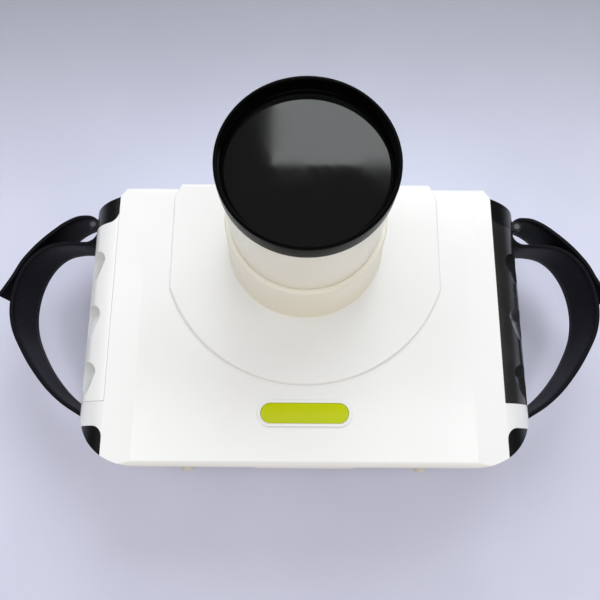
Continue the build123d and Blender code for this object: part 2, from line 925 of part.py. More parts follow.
socket_room = block(
    socket_x - socket_half - skin_gap, socket_x + socket_half + skin_gap,
    socket_low - past, socket_low + socket_length + past,
    socket_middle - socket_rise - skin_gap, socket_middle + socket_rise + skin_gap,
)
back_shell = back_shell - socket_room
flap = block(
    flap_left, flap_right, bottom_y, bottom_y + flap_thickness, hinge_z, flap_high_z
) + cylinder_x(hinge_radius, flap_left, flap_right, hinge_y, hinge_z)
flap = flap - cylinder_x(
    hinge_pin_radius + hinge_fit, flap_left - past, flap_right + past, hinge_y, hinge_z
)
save("socket_flap", flap)
save("flap_pin", cylinder_x(hinge_pin_radius, pin_left, pin_right, hinge_y, hinge_z))
socket = block(
    socket_x - socket_half, socket_x + socket_half, socket_low, socket_low + socket_length,
    socket_middle - socket_rise, socket_middle + socket_rise,
)
hole_end = socket_low + socket_length - socket_floor
plug_hole = cylinder_y(socket_hole_radius, socket_low - past, hole_end, socket_x, socket_middle)
middle_pin = cylinder_y(socket_pin_radius, socket_low + past, hole_end, socket_x, socket_middle)
save("charging_socket", socket - plug_hole + middle_pin)
save("back_shell", back_shell)

# Display, keys and panel board behind the rear wall
save("display_window", rounded_plate(
    window_width, window_height, display_corner, 0, window_y,
    recess_depth, recess_depth + display_thickness,
))
save("lcd_module", block(
    -lcd_width / 2, lcd_width / 2, window_y - lcd_height / 2, window_y + lcd_height / 2,
    rear_wall_z, board_z,
))
panel_board = block(
    -panel_board_width / 2, panel_board_width / 2, panel_board_low, panel_board_high,
    board_z, board_z + board_thickness,
)
key_names = ("key_tooth", "key_patient", "key_film", "key_minus", "key_ready", "key_plus")
key_back_z = rear_wall_z + key_rest_gap + key_flange_thickness
for name, (x, y) in zip(key_names, key_places()):
    cap = rounded_plate(
        key_width, key_height, key_corner, x, y,
        recess_depth - key_stand, rear_wall_z + key_rest_gap,
    )
    flange = rounded_plate(
        key_width + 2 * key_flange, key_height + 2 * key_flange, key_corner + key_flange, x, y,
        rear_wall_z + key_rest_gap, key_back_z,
    )
    save(name, cap + flange)
    half = key_switch_size / 2
    switch_z = key_back_z + key_travel + key_stop_gap
    panel_board = panel_board + block(x - half, x + half, y - half, y + half, switch_z, board_z)
save("panel_board", panel_board)
lamp = cylinder_z(lamp_radius, recess_depth - lamp_stand, rear_wall_z, lamp_x, lamp_y)
lamp_back = rear_wall_z + lamp_flange_thickness
lamp = lamp + cylinder_z(lamp_radius + lamp_flange, rear_wall_z, lamp_back, lamp_x, lamp_y)
save("status_lamp", lamp)
buzzer_z = board_z + board_thickness
save("buzzer", cylinder_z(
    buzzer_radius, buzzer_z, buzzer_z + buzzer_height,
    -panel_board_width / 2 + buzzer_inset, panel_board_low + buzzer_inset,
))

# Tube head: an oil tank with the x-ray tube and the transformer, closed towards the cone
tank_front = tank_rear + tank_depth
tank_half = tank_width / 2
tank = block(-tank_half, tank_half, tank_bottom, tank_top, tank_rear, tank_front)
tank = tank - block(
    -tank_half + tank_wall, tank_half - tank_wall, tank_bottom + tank_wall,
    tank_top - tank_wall, tank_rear + tank_wall, tank_front + past,
)


def tank_post_places():
    inset = tank_wall + tank_post_inset
    return [
        (side * (tank_half - inset), y)
        for side in (-1, 1)
        for y in (tank_bottom + inset, tank_top - inset)
    ]


for x, y in tank_post_places():
    post = cylinder_z(tank_post_radius, tank_rear + tank_wall - bite, tank_front, x, y)
    pilot_low = tank_front - tank_screw_grip - screw_hole_spare
    pilot = cylinder_z(screw_radius + thread_fit, pilot_low, tank_front + past, x, y)
    tank = tank + post - pilot
for x, y in tank_ear_places():
    ear_top = ear_rear + ear_thickness
    ear = block(
        x - ear_width / 2, x + ear_width / 2, y - ear_height / 2, y + ear_height / 2,
        ear_rear, ear_top,
    )
    tank = tank + ear - cylinder_z(screw_radius + screw_fit, ear_rear - past, ear_top + past, x, y)

tube_axis_z = tank_rear + xray_tube_depth
for side in (-1, 1):
    x = side * (glass_length / 2 - cradle_inset)
    cradle = block(
        x - cradle_thickness / 2, x + cradle_thickness / 2,
        beam_y - cradle_half_height, beam_y + cradle_half_height,
        tank_rear + tank_wall - bite, tube_axis_z - glass_radius / 2,
    )
    seat = cylinder_x(glass_radius + tube_part_fit, -tank_half, tank_half, beam_y, tube_axis_z)
    tank = tank + (cradle - seat)
save("tube_head_tank", tank)


def cover_outline(z0, z1):
    plate = block(-tank_half, tank_half, tank_bottom, tank_top, z0, z1)
    for x, y in tank_post_places():
        plate = plate - cylinder_z(screw_radius + screw_fit, z0 - past, z1 + past, x, y)
    return plate


gasket_z = tank_front + gasket_thickness
cover_z = gasket_z + cover_thickness
gasket_inside = block(
    -tank_half + gasket_rim, tank_half - gasket_rim, tank_bottom + gasket_rim,
    tank_top - gasket_rim, tank_front - past, gasket_z + past,
)
save("tank_gasket", cover_outline(tank_front, gasket_z) - gasket_inside)
beam_cut = cylinder_z(cover_hole_radius, gasket_z - past, cover_z + past, 0, beam_y)
save("tank_cover", cover_outline(gasket_z, cover_z) - beam_cut)


def tank_cover_screw(x, y):
    head = cylinder_z(screw_head_radius, cover_z, cover_z + screw_head_height, x, y)
    return head + cylinder_z(screw_radius, tank_front - tank_screw_grip, cover_z, x, y)


def tank_ear_screw(x, y):
    seat = ear_rear + ear_thickness
    head = cylinder_z(screw_head_radius, seat, seat + screw_head_height, x, y)
    return head + cylinder_z(screw_radius, seat - ear_screw_length, seat, x, y)


save_set("tank_cover_screws", [tank_cover_screw(x, y) for x, y in tank_post_places()])
save_set("tube_head_screws", [tank_ear_screw(x, y) for x, y in tank_ear_places()])

glass_half = glass_length / 2
glass = cylinder_x(glass_radius, -glass_half, glass_half, beam_y, tube_axis_z)
glass_bore = cylinder_x(
    glass_radius - glass_wall, -glass_half - past, glass_half + past, beam_y, tube_axis_z
)
save("xray_tube_glass", glass - glass_bore)
disc_radius = glass_radius - glass_wall - tube_part_fit
anode = cylinder_x(disc_radius, glass_half - end_disc, glass_half, beam_y, tube_axis_z)
anode = anode + cylinder_x(anode_radius, glass_half - anode_length, glass_half, beam_y, tube_axis_z)
target_cut = Pos(glass_half - anode_length, beam_y, tube_axis_z) * Rot(0, -target_angle, 0)
anode = anode - target_cut * Pos(-beyond / 2, 0, 0) * Box(beyond, 2 * beyond, 2 * beyond)
save("anode", anode)
cathode = cylinder_x(disc_radius, -glass_half, -glass_half + end_disc, beam_y, tube_axis_z)
cathode = cathode + cylinder_x(
    cathode_radius, -glass_half, -glass_half + cathode_length, beam_y, tube_axis_z
)
save("cathode", cathode)
coil_low = tank_bottom + tank_wall + coil_gap
coil = block(
    -coil_width / 2, coil_width / 2, coil_low, coil_low + coil_height,
    tank_rear + tank_wall, tank_rear + tank_wall + coil_depth,
)
save("high_voltage_transformer", coil)
collimator = cylinder_z(collimator_radius, cover_z, front_inside, 0, beam_y)
collimator = collimator - cylinder_z(collimator_bore, cover_z - past, plateau_z, 0, beam_y)
save("lead_collimator", collimator)
save("beam_filter", cylinder_z(
    collimator_bore - tube_part_fit, cover_z, cover_z + filter_thickness, 0, beam_y
))

# Batteries in a tray, with legs down to the rear wall
half_pitch = cell_pitch / 2
cells = [
    cylinder_y(cell_radius, cell_y - cell_length / 2, cell_y + cell_length / 2, x, z)
    for x in (cell_x - half_pitch, cell_x + half_pitch)
    for z in (cell_z - half_pitch, cell_z + half_pitch)
]
save_set("battery_cells", cells)
tray_across = half_pitch + cell_radius + cell_fit + tray_wall
tray_along = cell_length / 2 + cell_fit + tray_wall
tray_x0 = cell_x - tray_across
tray_x1 = cell_x + tray_across
tray_y0 = cell_y - tray_along
tray_y1 = cell_y + tray_along
tray_z0 = cell_z - tray_across
tray_z1 = cell_z + half_pitch
tray = block(tray_x0, tray_x1, tray_y0, tray_y1, tray_z0, tray_z1)
tray = tray - block(
    tray_x0 + tray_wall, tray_x1 - tray_wall, tray_y0 + tray_wall, tray_y1 - tray_wall,
    tray_z0 + tray_wall, tray_z1 + past,
)
for x in (cell_x, tray_x1 - tray_leg_inset / 2):
    for y in (tray_y0 + tray_leg_inset, tray_y1 - tray_leg_inset):
        tray = tray + cylinder_z(tray_leg_radius, rear_wall_z, tray_z0 + bite, x, y)
save("battery_tray", tray)

# Main board and the inverter board above it
board_x0 = main_board_x - main_board_width / 2
board_x1 = main_board_x + main_board_width / 2
board_y = main_board_height / 2


def board(z, parts):
    # Each part is (x from the board's middle, y, width, height, rise above the board).
    plate = block(board_x0, board_x1, -board_y, board_y, z, z + board_thickness)
    for x, y, width, height, rise in parts:
        top = z + board_thickness
        plate = plate + block(
            main_board_x + x - width / 2, main_board_x + x + width / 2,
            y - height / 2, y + height / 2, top - bite, top + rise,
        )
    return plate


processor = (0, 18, 14, 14, 2.0)
charger_coil = (-6, -12, 10, 18, 6.0)
charger_capacitor = (8, -14, 8, 8, 8.0)
save("main_board", board(main_board_rear, [processor, charger_coil, charger_capacitor]))
inverter_transformer = (0, 20, 26, 22, 16.0)
heat_sink = (-8, -16, 12, 20, 12.0)
inverter_capacitor = (9, -16, 10, 14, 9.0)
inverter_parts = [inverter_transformer, heat_sink, inverter_capacitor]
save("inverter_board", board(inverter_rear, inverter_parts))
spacers = [
    cylinder_z(standoff_radius, main_board_rear + board_thickness, inverter_rear, x, y)
    for x, y in board_corner_places()
]
save_set("board_spacers", spacers)

# Strap brackets, bars and straps
def bracket():
    base_y = upper_bar_y - bracket_drop
    outer_ear = bracket_gap + bracket_ear
    inner_x = -side_x + bracket_seat
    shape = block(
        -side_x - bracket_base, inner_x, base_y - bracket_height / 2, base_y + bracket_height / 2,
        band_low - outer_ear, band_high + outer_ear,
    )
    for z0 in (band_low - outer_ear, band_high + bracket_gap):
        z1 = z0 + bracket_ear
        arm = block(upper_bar_x, inner_x, upper_bar_y - lug_radius, upper_bar_y + lug_radius, z0, z1)
        shape = shape + arm + cylinder_z(lug_radius, z0, z1, upper_bar_x, upper_bar_y)
    side = extrude(offset(outline_from_front(0), bracket_fit), body_depth)
    bar_hole = cylinder_z(bar_radius + thread_fit, 0, parting_z + past, upper_bar_x, upper_bar_y)
    return shape - side - bar_hole


left_bracket = bracket()
save_set("strap_brackets", [left_bracket, mirrored(left_bracket)])
outer_ear = bracket_gap + bracket_ear
upper_bar = cylinder_z(
    bar_radius, band_low - outer_ear, band_high + outer_ear, upper_bar_x, upper_bar_y
)
lower_bar = cylinder_z(bar_radius, slot_bar_low, slot_bar_high, lower_bar_x, lower_bar_y)
left_bars = [upper_bar, lower_bar]
save_set("strap_bars", left_bars + [mirrored(piece) for piece in left_bars])


def beside(out, y):
    return (-side_x - out, y)


# The band's middle line from the lower bar, round the hand's gap and up to the upper bar
eye_middle = eye_radius - strap_thickness / 2
lead_angle = math.radians(lower_lead)
lead_x = math.cos(lead_angle)
lead_y = math.sin(lead_angle)
main_line = [
    (lower_bar_x - eye_middle * lead_y, lower_bar_y - eye_middle * lead_x),
    beside(5.5, -40.0),
    beside(13.3, -35.1),
    beside(21.2, -28.2),
    beside(29.2, -18.6),
    beside(35.3, -9.0),
    beside(39.8, 0.2),
    beside(42.0, 9.3),
    beside(42.2, 18.0),
    beside(40.8, 26.5),
    beside(37.6, 34.8),
    beside(32.6, 41.4),
    beside(26.0, 45.6),
    beside(18.0, 47.1),
    (loop_x, upper_loop_y - loop_radius),
]
# The end of the band comes back outside it and stands off as a short free tail.
return_line = [
    (loop_x, upper_loop_y + loop_radius),
    beside(14.5, 60.4),
    beside(20.5, 57.0),
    beside(26.2, 52.0),
    beside(31.0, 47.2),
    beside(35.3, 42.4),
    beside(39.9, 35.9),
    beside(43.3, 28.5),
    beside(46.6, 22.8),
    beside(50.0, 17.5),
]


def ribbon(points, start_direction, end_direction):
    # A flat face of even width round a smooth middle line.
    line = Spline(*points, tangents=(start_direction, end_direction))
    steps = 4 * len(points)
    left = []
    right = []
    for step in range(steps + 1):
        place = line @ (step / steps)
        along = (line % (step / steps)).normalized()
        across = Vector(-along.Y, along.X) * (strap_thickness / 2)
        left.append((place.X + across.X, place.Y + across.Y))
        right.append((place.X - across.X, place.Y - across.Y))
    edges = [
        Spline(*left),
        Line(left[-1], right[-1]),
        Spline(*reversed(right)),
        Line(right[0], left[0]),
    ]
    return make_face(Wire(edges))


def ring_face(x, y, radius):
    inside = radius - strap_thickness
    return Pos(x, y) * (Circle(radius) - Circle(inside))


main_face = ribbon(main_line, (-lead_x, lead_y), (1, 0))
return_face = ribbon(return_line, (-1, 0), (-2, -3))
loop_ring = ring_face(loop_x, upper_loop_y, loop_radius + strap_thickness / 2)
near_body = Pos(loop_x + beyond / 2, upper_loop_y) * Rectangle(beyond, 2 * beyond)
loop_face = loop_ring & near_body
eye_face = ring_face(lower_bar_x, lower_bar_y, eye_radius)
strap_face = main_face + loop_face + return_face + eye_face
strap = Pos(0, 0, band_low) * extrude(strap_face, strap_width)
save("strap_left", strap)
save("strap_right", mirrored(strap))
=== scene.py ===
import math
import bpy
from mathutils import Matrix, Vector


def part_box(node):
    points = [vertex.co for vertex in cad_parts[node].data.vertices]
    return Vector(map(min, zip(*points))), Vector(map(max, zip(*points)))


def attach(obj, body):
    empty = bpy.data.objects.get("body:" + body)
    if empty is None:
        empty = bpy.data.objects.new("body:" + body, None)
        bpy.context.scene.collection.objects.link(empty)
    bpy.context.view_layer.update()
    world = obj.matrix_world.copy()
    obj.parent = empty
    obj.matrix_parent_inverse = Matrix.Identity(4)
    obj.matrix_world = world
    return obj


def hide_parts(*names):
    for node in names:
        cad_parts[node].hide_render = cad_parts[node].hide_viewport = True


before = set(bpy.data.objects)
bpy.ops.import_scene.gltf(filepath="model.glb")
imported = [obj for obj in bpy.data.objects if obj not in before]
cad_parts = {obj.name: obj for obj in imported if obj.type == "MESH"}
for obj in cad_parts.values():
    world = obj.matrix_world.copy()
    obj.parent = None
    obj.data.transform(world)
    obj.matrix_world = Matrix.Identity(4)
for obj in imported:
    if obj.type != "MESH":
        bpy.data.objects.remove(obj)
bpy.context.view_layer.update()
print("frame loaded")

# Sizes are in metres. The unit lies on its back: the cone points up, along Z, and the top face
# looks along Y.

# The camera stands where the picture was taken from, above the unit as it lies on its back.
camera = {
    "place": (-0.00232, -0.06153, 0.34714),
    "tilt": 14.117,  # degrees from straight down
    "roll": 0.336,
    "lens": 36.31, "sensor": 36.0,
    "near": 0.01, "far": 20.0,
}
eye = bpy.data.cameras.new("camera")
eye.lens = camera["lens"]
eye.sensor_width = camera["sensor"]
eye.clip_start, eye.clip_end = camera["near"], camera["far"]
eyeObject = bpy.data.objects.new("camera", eye)
bpy.context.scene.collection.objects.link(eyeObject)
eyeObject.matrix_world = (
    Matrix.Translation(camera["place"])
    @ Matrix.Rotation(math.radians(camera["tilt"]), 4, "X")
    @ Matrix.Rotation(math.radians(camera["roll"]), 4, "Z")
)
bpy.context.scene.camera = eyeObject
bpy.context.scene.view_settings.view_transform = "Standard"
print("camera placed")


class Wire:
    # one socket of a finish, so that its maths is written as an expression
    def __init__(self, tree, socket=None):
        self.tree, self.socket = tree, socket

    def node(self, kind, settings=None, sockets=None, out=0):
        made = self.tree.nodes.new("ShaderNode" + kind)
        for key, value in (settings or {}).items():
            setattr(made, key, value)
        for key, value in (sockets or {}).items():
            if isinstance(value, Wire):
                self.tree.links.new(value.socket, made.inputs[key])
            else:
                made.inputs[key].default_value = value
        return Wire(self.tree, made.outputs[out])

    def maths(self, operation, first, second=0.0):
        return self.node("Math", {"operation": operation}, {0: first, 1: second})

    def __add__(self, other):
        return self.maths("ADD", self, other)

    def __radd__(self, other):
        return self.maths("ADD", other, self)

    def __sub__(self, other):
        return self.maths("SUBTRACT", self, other)

    def __rsub__(self, other):
        return self.maths("SUBTRACT", other, self)

    def __mul__(self, other):
        return self.maths("MULTIPLY", self, other)

    def __rmul__(self, other):
        return self.maths("MULTIPLY", other, self)

    def __lt__(self, other):
        return self.maths("LESS_THAN", self, other)

    def tint(self, low, high):  # a colour between two others, by this mask
        ends = {0: self}
        for key, colour in ((6, low), (7, high)):
            ends[key] = colour if isinstance(colour, Wire) else (*colour, 1)
        return self.node("Mix", {"data_type": "RGBA"}, ends, out=2)

    def feed(self, shader, name):
        self.tree.links.new(self.socket, shader.inputs[name])


def startFinish(name, colour, rough, **fixed):
    # a new material, with what is the same all over it
    made = bpy.data.materials.new(name)
    made.use_nodes = True
    shader = made.node_tree.nodes["Principled BSDF"]
    shader.inputs["Base Color"].default_value = (*colour, 1)
    shader.inputs["Roughness"].default_value = rough
    for key, value in fixed.items():
        shader.inputs[key.replace("_", " ")].default_value = value
    return made, shader, Wire(made.node_tree)


def cloudMask(wire, place, scale, detail=3.0, low=0.35, high=0.65):  # soft patches, 0 to 1
    cloud = wire.node("TexNoise", None, {"Vector": place, "Scale": scale, "Detail": detail})
    return wire.node("MapRange", None, {"Value": cloud, "From Min": low, "From Max": high})


def addRelief(wire, shader, height, distance):
    bump = wire.node("Bump", None, {"Strength": 1.0, "Distance": distance, "Height": height})
    bump.feed(shader, "Normal")


def mouldedPlastic(name, colour, shade, rough, roughSpread, grain, depth, **fixed):
    # soft tone patches, patches of handling shine, and the grain of the mould
    made, shader, wire = startFinish(name, colour, rough, **fixed)
    place = wire.node("TexCoord", out="Object")
    tone = cloudMask(wire, place, scale=14.0)
    tone.tint(colour, shade).feed(shader, "Base Color")
    rubbed = cloudMask(wire, place, scale=45.0, detail=5.0, low=0.45, high=0.62)
    (rough + rubbed * roughSpread).feed(shader, "Roughness")
    fine = wire.node("TexNoise", None, {"Vector": place, "Scale": grain, "Detail": 2.0})
    addRelief(wire, shader, fine, depth)
    return made


def conePlastic(name, look):
    # ivory plastic, with painted shade: its colour gets darker and warmer towards its foot
    made, shader, wire = startFinish(name, look["top"], look["rough"])
    place = wire.node("TexCoord", out="Object")
    height = wire.node("SeparateXYZ", None, {"Vector": place}, out="Z")
    # painted shade: the colour darkens and warms towards the cone's foot
    footShade = wire.node("MapRange", {"interpolation_type": "SMOOTHSTEP"}, {
        "Value": height + cloudMask(wire, place, scale=12.0, detail=1.0) * look["waver"],
        "From Min": look["foot"], "From Max": look["head"], "To Min": 1.0, "To Max": 0.0,
    })
    footShade.tint(look["top"], look["bottom"]).feed(shader, "Base Color")
    rubbed = cloudMask(wire, place, scale=25.0, detail=2.0, low=0.3, high=0.7)
    (look["rough"] + rubbed * look["roughSpread"]).feed(shader, "Roughness")
    fine = wire.node("TexNoise", None, {"Vector": place, "Scale": look["grain"], "Detail": 1.0})
    addRelief(wire, shader, fine, look["depth"])
    return made


def machinedMetal(name, colour, shade, rough, direction, **fixed):
    # metal with fine tool marks along one direction
    made, shader, wire = startFinish(name, colour, rough, Metallic=1.0, **fixed)
    place = wire.node("TexCoord", out="Object")
    turned = wire.node("Mapping", None, {"Vector": place, "Scale": direction})
    marks = wire.node("TexNoise", None, {"Vector": turned, "Scale": 900.0, "Detail": 4.0})
    stain = cloudMask(wire, place, scale=60.0)
    stain.tint(colour, shade).feed(shader, "Base Color")
    (rough + marks * 0.18 - 0.05).feed(shader, "Roughness")
    addRelief(wire, shader, marks, 0.00002)
    return made


def softRubber(name, colour, shade, rough):
    # dusty patches, which shine a little more, and fine pores
    made, shader, wire = startFinish(name, colour, rough)
    place = wire.node("TexCoord", out="Object")
    dust = cloudMask(wire, place, scale=180.0, detail=6.0, low=0.5, high=0.75)
    dust.tint(colour, shade).feed(shader, "Base Color")
    (rough - dust * 0.12).feed(shader, "Roughness")
    pores = wire.node("TexNoise", None, {"Vector": place, "Scale": 2600.0, "Detail": 3.0})
    addRelief(wire, shader, pores, 0.00004)
    return made


def wovenStrap(name, look):
    # webbing: fine ribs across it, and a row of stitches along each edge; U and V are in metres
    made, shader, wire = startFinish(
        name, look["colour"], look["rough"], Specular_IOR_Level=look["specular"],
    )
    flat = wire.node("UVMap", {"uv_map": "UVMap"})
    ribs = wire.node("TexWave", {"bands_direction": "X"}, {
        "Vector": flat, "Scale": look["ribs"], "Distortion": 0.6, "Detail": 1.0,
    }, out="Fac")
    weave = wire.node("TexWave", {"bands_direction": "DIAGONAL"}, {
        "Vector": flat, "Scale": look["ribs"] * look["weaveShare"], "Distortion": 0.3,
    }, out="Fac")
    along = wire.node("SeparateXYZ", None, {"Vector": flat}, out="X")
    across = wire.node("SeparateXYZ", None, {"Vector": flat}, out="Y")
    fromMiddle = wire.maths("ABSOLUTE", across - look["width"] / 2)
    row = wire.maths("ABSOLUTE", fromMiddle - look["stitchRow"]) < look["threadWidth"]
    beat = wire.maths("FRACT", along * (1 / look["stitchPitch"]))
    stitch = row * (beat < look["stitchShare"])
    tone = cloudMask(wire, wire.node("TexCoord", out="Object"), scale=30.0)
    cloth = (tone * 0.6 + ribs * 0.4).tint(look["colour"], look["shade"])
    stitch.tint(cloth, look["thread"]).feed(shader, "Base Color")
    (look["rough"] + tone * 0.10 - stitch * 0.12).feed(shader, "Roughness")
    addRelief(wire, shader, ribs * 0.5 + weave * 0.3 + stitch * 1.2, look["depth"])
    return made


def circuitBoard(name):
    # solder mask with copper tracks under it
    made, shader, wire = startFinish(name, (0.02, 0.2, 0.08), 0.35)
    place = wire.node("TexCoord", out="Object")
    tracks = wire.node("TexBrick", {"offset": 0.35}, {
        "Vector": place, "Scale": 160.0, "Mortar Size": 0.06, "Mortar Smooth": 0.1,
    }, out="Fac")
    tracks.tint((0.015, 0.16, 0.06), (0.06, 0.34, 0.14)).feed(shader, "Base Color")
    (0.42 - tracks * 0.14).feed(shader, "Roughness")
    addRelief(wire, shader, tracks, 0.00005)
    return made


def wrappedCoil(name):
    # varnished windings
    made, shader, wire = startFinish(name, (0.30, 0.16, 0.06), 0.3)
    place = wire.node("TexCoord", out="Object")
    turns = wire.node("TexWave", {"bands_direction": "X"}, {
        "Vector": place, "Scale": 260.0, "Distortion": 0.4,
    }, out="Fac")
    turns.tint((0.12, 0.05, 0.015), (0.42, 0.22, 0.08)).feed(shader, "Base Color")
    (0.25 + turns * 0.15).feed(shader, "Roughness")
    addRelief(wire, shader, turns, 0.0001)
    return made


def clearGlass(name):
    # clear, with faint streaks
    made, shader, wire = startFinish(
        name, (0.85, 0.92, 0.95), 0.03, Transmission_Weight=0.9, IOR=1.47,
    )
    place = wire.node("TexCoord", out="Object")
    streak = cloudMask(wire, place, scale=90.0, detail=2.0)
    streak.tint((0.86, 0.93, 0.95), (0.80, 0.88, 0.92)).feed(shader, "Base Color")
    (0.02 + streak * 0.05).feed(shader, "Roughness")
    return made


coneLook = {
    # the bottom colour is painted shade, darker and warmer at the cone's foot
    "top": (0.92, 0.92, 0.85), "bottom": (0.90, 0.872, 0.765),
    "foot": 0.082, "head": 0.150, "waver": 0.004,  # heights that the two colours run between
    "rough": 0.30, "roughSpread": 0.05, "grain": 900.0, "depth": 0.000003,
}
strapLook = {
    "width": 0.028, "colour": (0.0028, 0.0028, 0.0056), "shade": (0.0044, 0.0044, 0.0082),
    "thread": (0.008, 0.008, 0.013), "rough": 0.5, "specular": 0.09,
    "ribs": 260.0, "weaveShare": 0.45, "depth": 0.00005,
    "stitchRow": 0.0112,  # from the band's middle line
    "threadWidth": 0.00035, "stitchPitch": 0.0036, "stitchShare": 0.62,
}
finishes = {
    "housing_white": mouldedPlastic(
        "housingWhite", (0.88, 0.89, 0.90), (0.86, 0.87, 0.88),
        rough=0.16, roughSpread=0.05, grain=500.0, depth=0.000006,
    ),
    "cone_white": conePlastic("coneIvory", coneLook),
    "black_gloss": mouldedPlastic(
        "blackGloss", (0.0025, 0.0027, 0.0035), (0.004, 0.0042, 0.0052),
        rough=0.045, roughSpread=0.045, grain=420.0, depth=0.000002,
    ),
    "black_satin": mouldedPlastic(
        "blackSatin", (0.0025, 0.0027, 0.0035), (0.004, 0.0042, 0.005),
        rough=0.24, roughSpread=0.08, grain=1500.0, depth=0.00001,
        Specular_IOR_Level=0.22,
    ),
    "strap": wovenStrap("strapBlack", strapLook),
    "lime": mouldedPlastic(
        "limePlate", (0.56, 0.64, 0.003), (0.53, 0.61, 0.004),
        rough=0.26, roughSpread=0.05, grain=900.0, depth=0.00001,
        Specular_IOR_Level=0.12,
    ),
    "cream_rubber": softRubber(
        "creamRubber", (0.72, 0.70, 0.64), (0.62, 0.60, 0.54), rough=0.62,
    ),
    "steel": machinedMetal(
        "barSteel", (0.10, 0.102, 0.105), (0.07, 0.072, 0.075),
        rough=0.40, direction=(1, 1, 12),
    ),
    "brass": machinedMetal(
        "bushBrass", (0.65, 0.48, 0.20), (0.56, 0.40, 0.16),
        rough=0.28, direction=(1, 14, 1),
    ),
    "display_glass": mouldedPlastic(
        "displayGlass", (0.012, 0.015, 0.018), (0.016, 0.019, 0.022),
        rough=0.05, roughSpread=0.04, grain=300.0, depth=0.000003,
    ),
    "display_panel": mouldedPlastic(
        "displayPanel", (0.10, 0.14, 0.12), (0.08, 0.12, 0.10),
        rough=0.30, roughSpread=0.05, grain=900.0, depth=0.00001,
    ),
    "key_grey": mouldedPlastic(
        "keyGrey", (0.30, 0.32, 0.35), (0.27, 0.29, 0.32),
        rough=0.55, roughSpread=0.08, grain=2200.0, depth=0.00004,
    ),
    "button_orange": mouldedPlastic(
        "buttonOrange", (0.80, 0.25, 0.03), (0.74, 0.22, 0.03),
        rough=0.32, roughSpread=0.07, grain=1100.0, depth=0.00002,
    ),
    "lamp_green": mouldedPlastic(
        "lampGreen", (0.10, 0.60, 0.20), (0.08, 0.52, 0.17),
        rough=0.12, roughSpread=0.05, grain=600.0, depth=0.00001,
    ),
    "board_green": circuitBoard("boardGreen"),
    "cell_blue": mouldedPlastic(
        "cellBlue", (0.05, 0.15, 0.45), (0.04, 0.13, 0.40),
        rough=0.30, roughSpread=0.06, grain=700.0, depth=0.00001,
    ),
    "tray_grey": mouldedPlastic(
        "trayGrey", (0.12, 0.12, 0.12), (0.10, 0.10, 0.10),
        rough=0.60, roughSpread=0.08, grain=1600.0, depth=0.00004,
    ),
    "aluminium": machinedMetal(
        "tankAluminium", (0.75, 0.76, 0.78), (0.66, 0.67, 0.69),
        rough=0.34, direction=(12, 1, 1),
    ),
    "lead": machinedMetal(
        "collimatorLead", (0.25, 0.26, 0.28), (0.19, 0.20, 0.21),
        rough=0.60, direction=(2, 2, 3),
    ),
    "tube_glass": clearGlass("tubeGlass"),
    "copper": machinedMetal(
        "anodeCopper", (0.72, 0.36, 0.22), (0.60, 0.28, 0.17),
        rough=0.30, direction=(1, 10, 10),
    ),
    "coil_brown": wrappedCoil("coilBrown"),
    "gasket_rubber": softRubber(
        "gasketRubber", (0.03, 0.03, 0.03), (0.05, 0.05, 0.05), rough=0.80,
    ),
    "switch_black": mouldedPlastic(
        "switchBlack", (0.02, 0.02, 0.02), (0.028, 0.028, 0.028),
        rough=0.60, roughSpread=0.08, grain=2000.0, depth=0.00004,
    ),
}
print("finishes made")

looks = {  # pieces whose finish differs a little from the others of their slot
    # painted shade: a darker copy of the satin black, which deepens the shade inside the ring
    "cone_end_ring": mouldedPlastic(
        "ringBlack", (0.001, 0.0011, 0.0013), (0.0016, 0.0017, 0.002),
        rough=0.22, roughSpread=0.06, grain=1500.0, depth=0.00001,
        Specular_IOR_Level=0.035,
    ),
    # painted light: a whiter copy of the housing white, which lifts the left panel where it turns
    # away from the lamps
    "grip_panel_left": mouldedPlastic(
        "panelWhite", (0.94, 0.95, 0.96), (0.92, 0.93, 0.94),
        rough=0.16, roughSpread=0.05, grain=500.0, depth=0.000006,
    ),
    "grip_panel_right": mouldedPlastic(
        "panelBlack", (0.012, 0.012, 0.012), (0.028, 0.028, 0.027),
        rough=0.20, roughSpread=0.14, grain=420.0, depth=0.000006,
    ),
}
for name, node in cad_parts.items():
    slotName = node.data.materials[0].name.split(".")[0]
    for slot in node.material_slots:
        slot.material = looks.get(name, finishes[slotName])
print("finishes given to the frame's pieces")


def deselectAll():
    if bpy.context.object is not None and bpy.context.object.mode == "EDIT":
        bpy.ops.object.mode_set(mode="OBJECT")
    bpy.ops.object.select_all(action="DESELECT")


def pickOnly(piece):
    deselectAll()
    piece.select_set(True)
    bpy.context.view_layer.objects.active = piece


def faceModeOn(piece):
    pickOnly(piece)
    bpy.context.tool_settings.mesh_select_mode = (False, False, True)
    bpy.ops.object.mode_set(mode="EDIT")


def facesUp(face):
    return face.normal.z > 0.9


def facesDown(face):
    return face.normal.z < -0.9


def selectFaces(piece, wanted):
    # leaves the piece in edit mode with only the wanted faces selected
    faceModeOn(piece)
    bpy.ops.mesh.select_all(action="DESELECT")
    bpy.ops.object.mode_set(mode="OBJECT")
    for face in piece.data.polygons:
        face.select = wanted(face)
    bpy.ops.object.mode_set(mode="EDIT")


nearAxis = 0.000002  # radius of a profile's points at its axis, where the ring becomes one point
weldWithin = 0.000002  # points of a slab that are this close become one
towardsTop = (math.radians(-90), 0, 0)  # turns that lay the Z axis along Y, against Y and along X
towardsBottom = (math.radians(90), 0, 0)
towardsRight = (0, math.radians(90), 0)


def openShape(name):
    # names the new primitive and opens it for work on its points
    piece = bpy.context.object
    piece.name = name
    bpy.context.tool_settings.mesh_select_mode = (True, False, False)
    bpy.ops.object.mode_set(mode="EDIT")
    bpy.ops.mesh.select_all(action="SELECT")
    return piece


def closeShape(within):
    # merges points that lie within that distance, turns the faces outwards and leaves edit mode
    bpy.ops.mesh.select_all(action="SELECT")
    bpy.ops.mesh.remove_doubles(threshold=within)
    bpy.ops.mesh.normals_make_consistent(inside=False)
    bpy.ops.object.mode_set(mode="OBJECT")
    bpy.ops.object.transform_apply(location=True, rotation=True, scale=True)


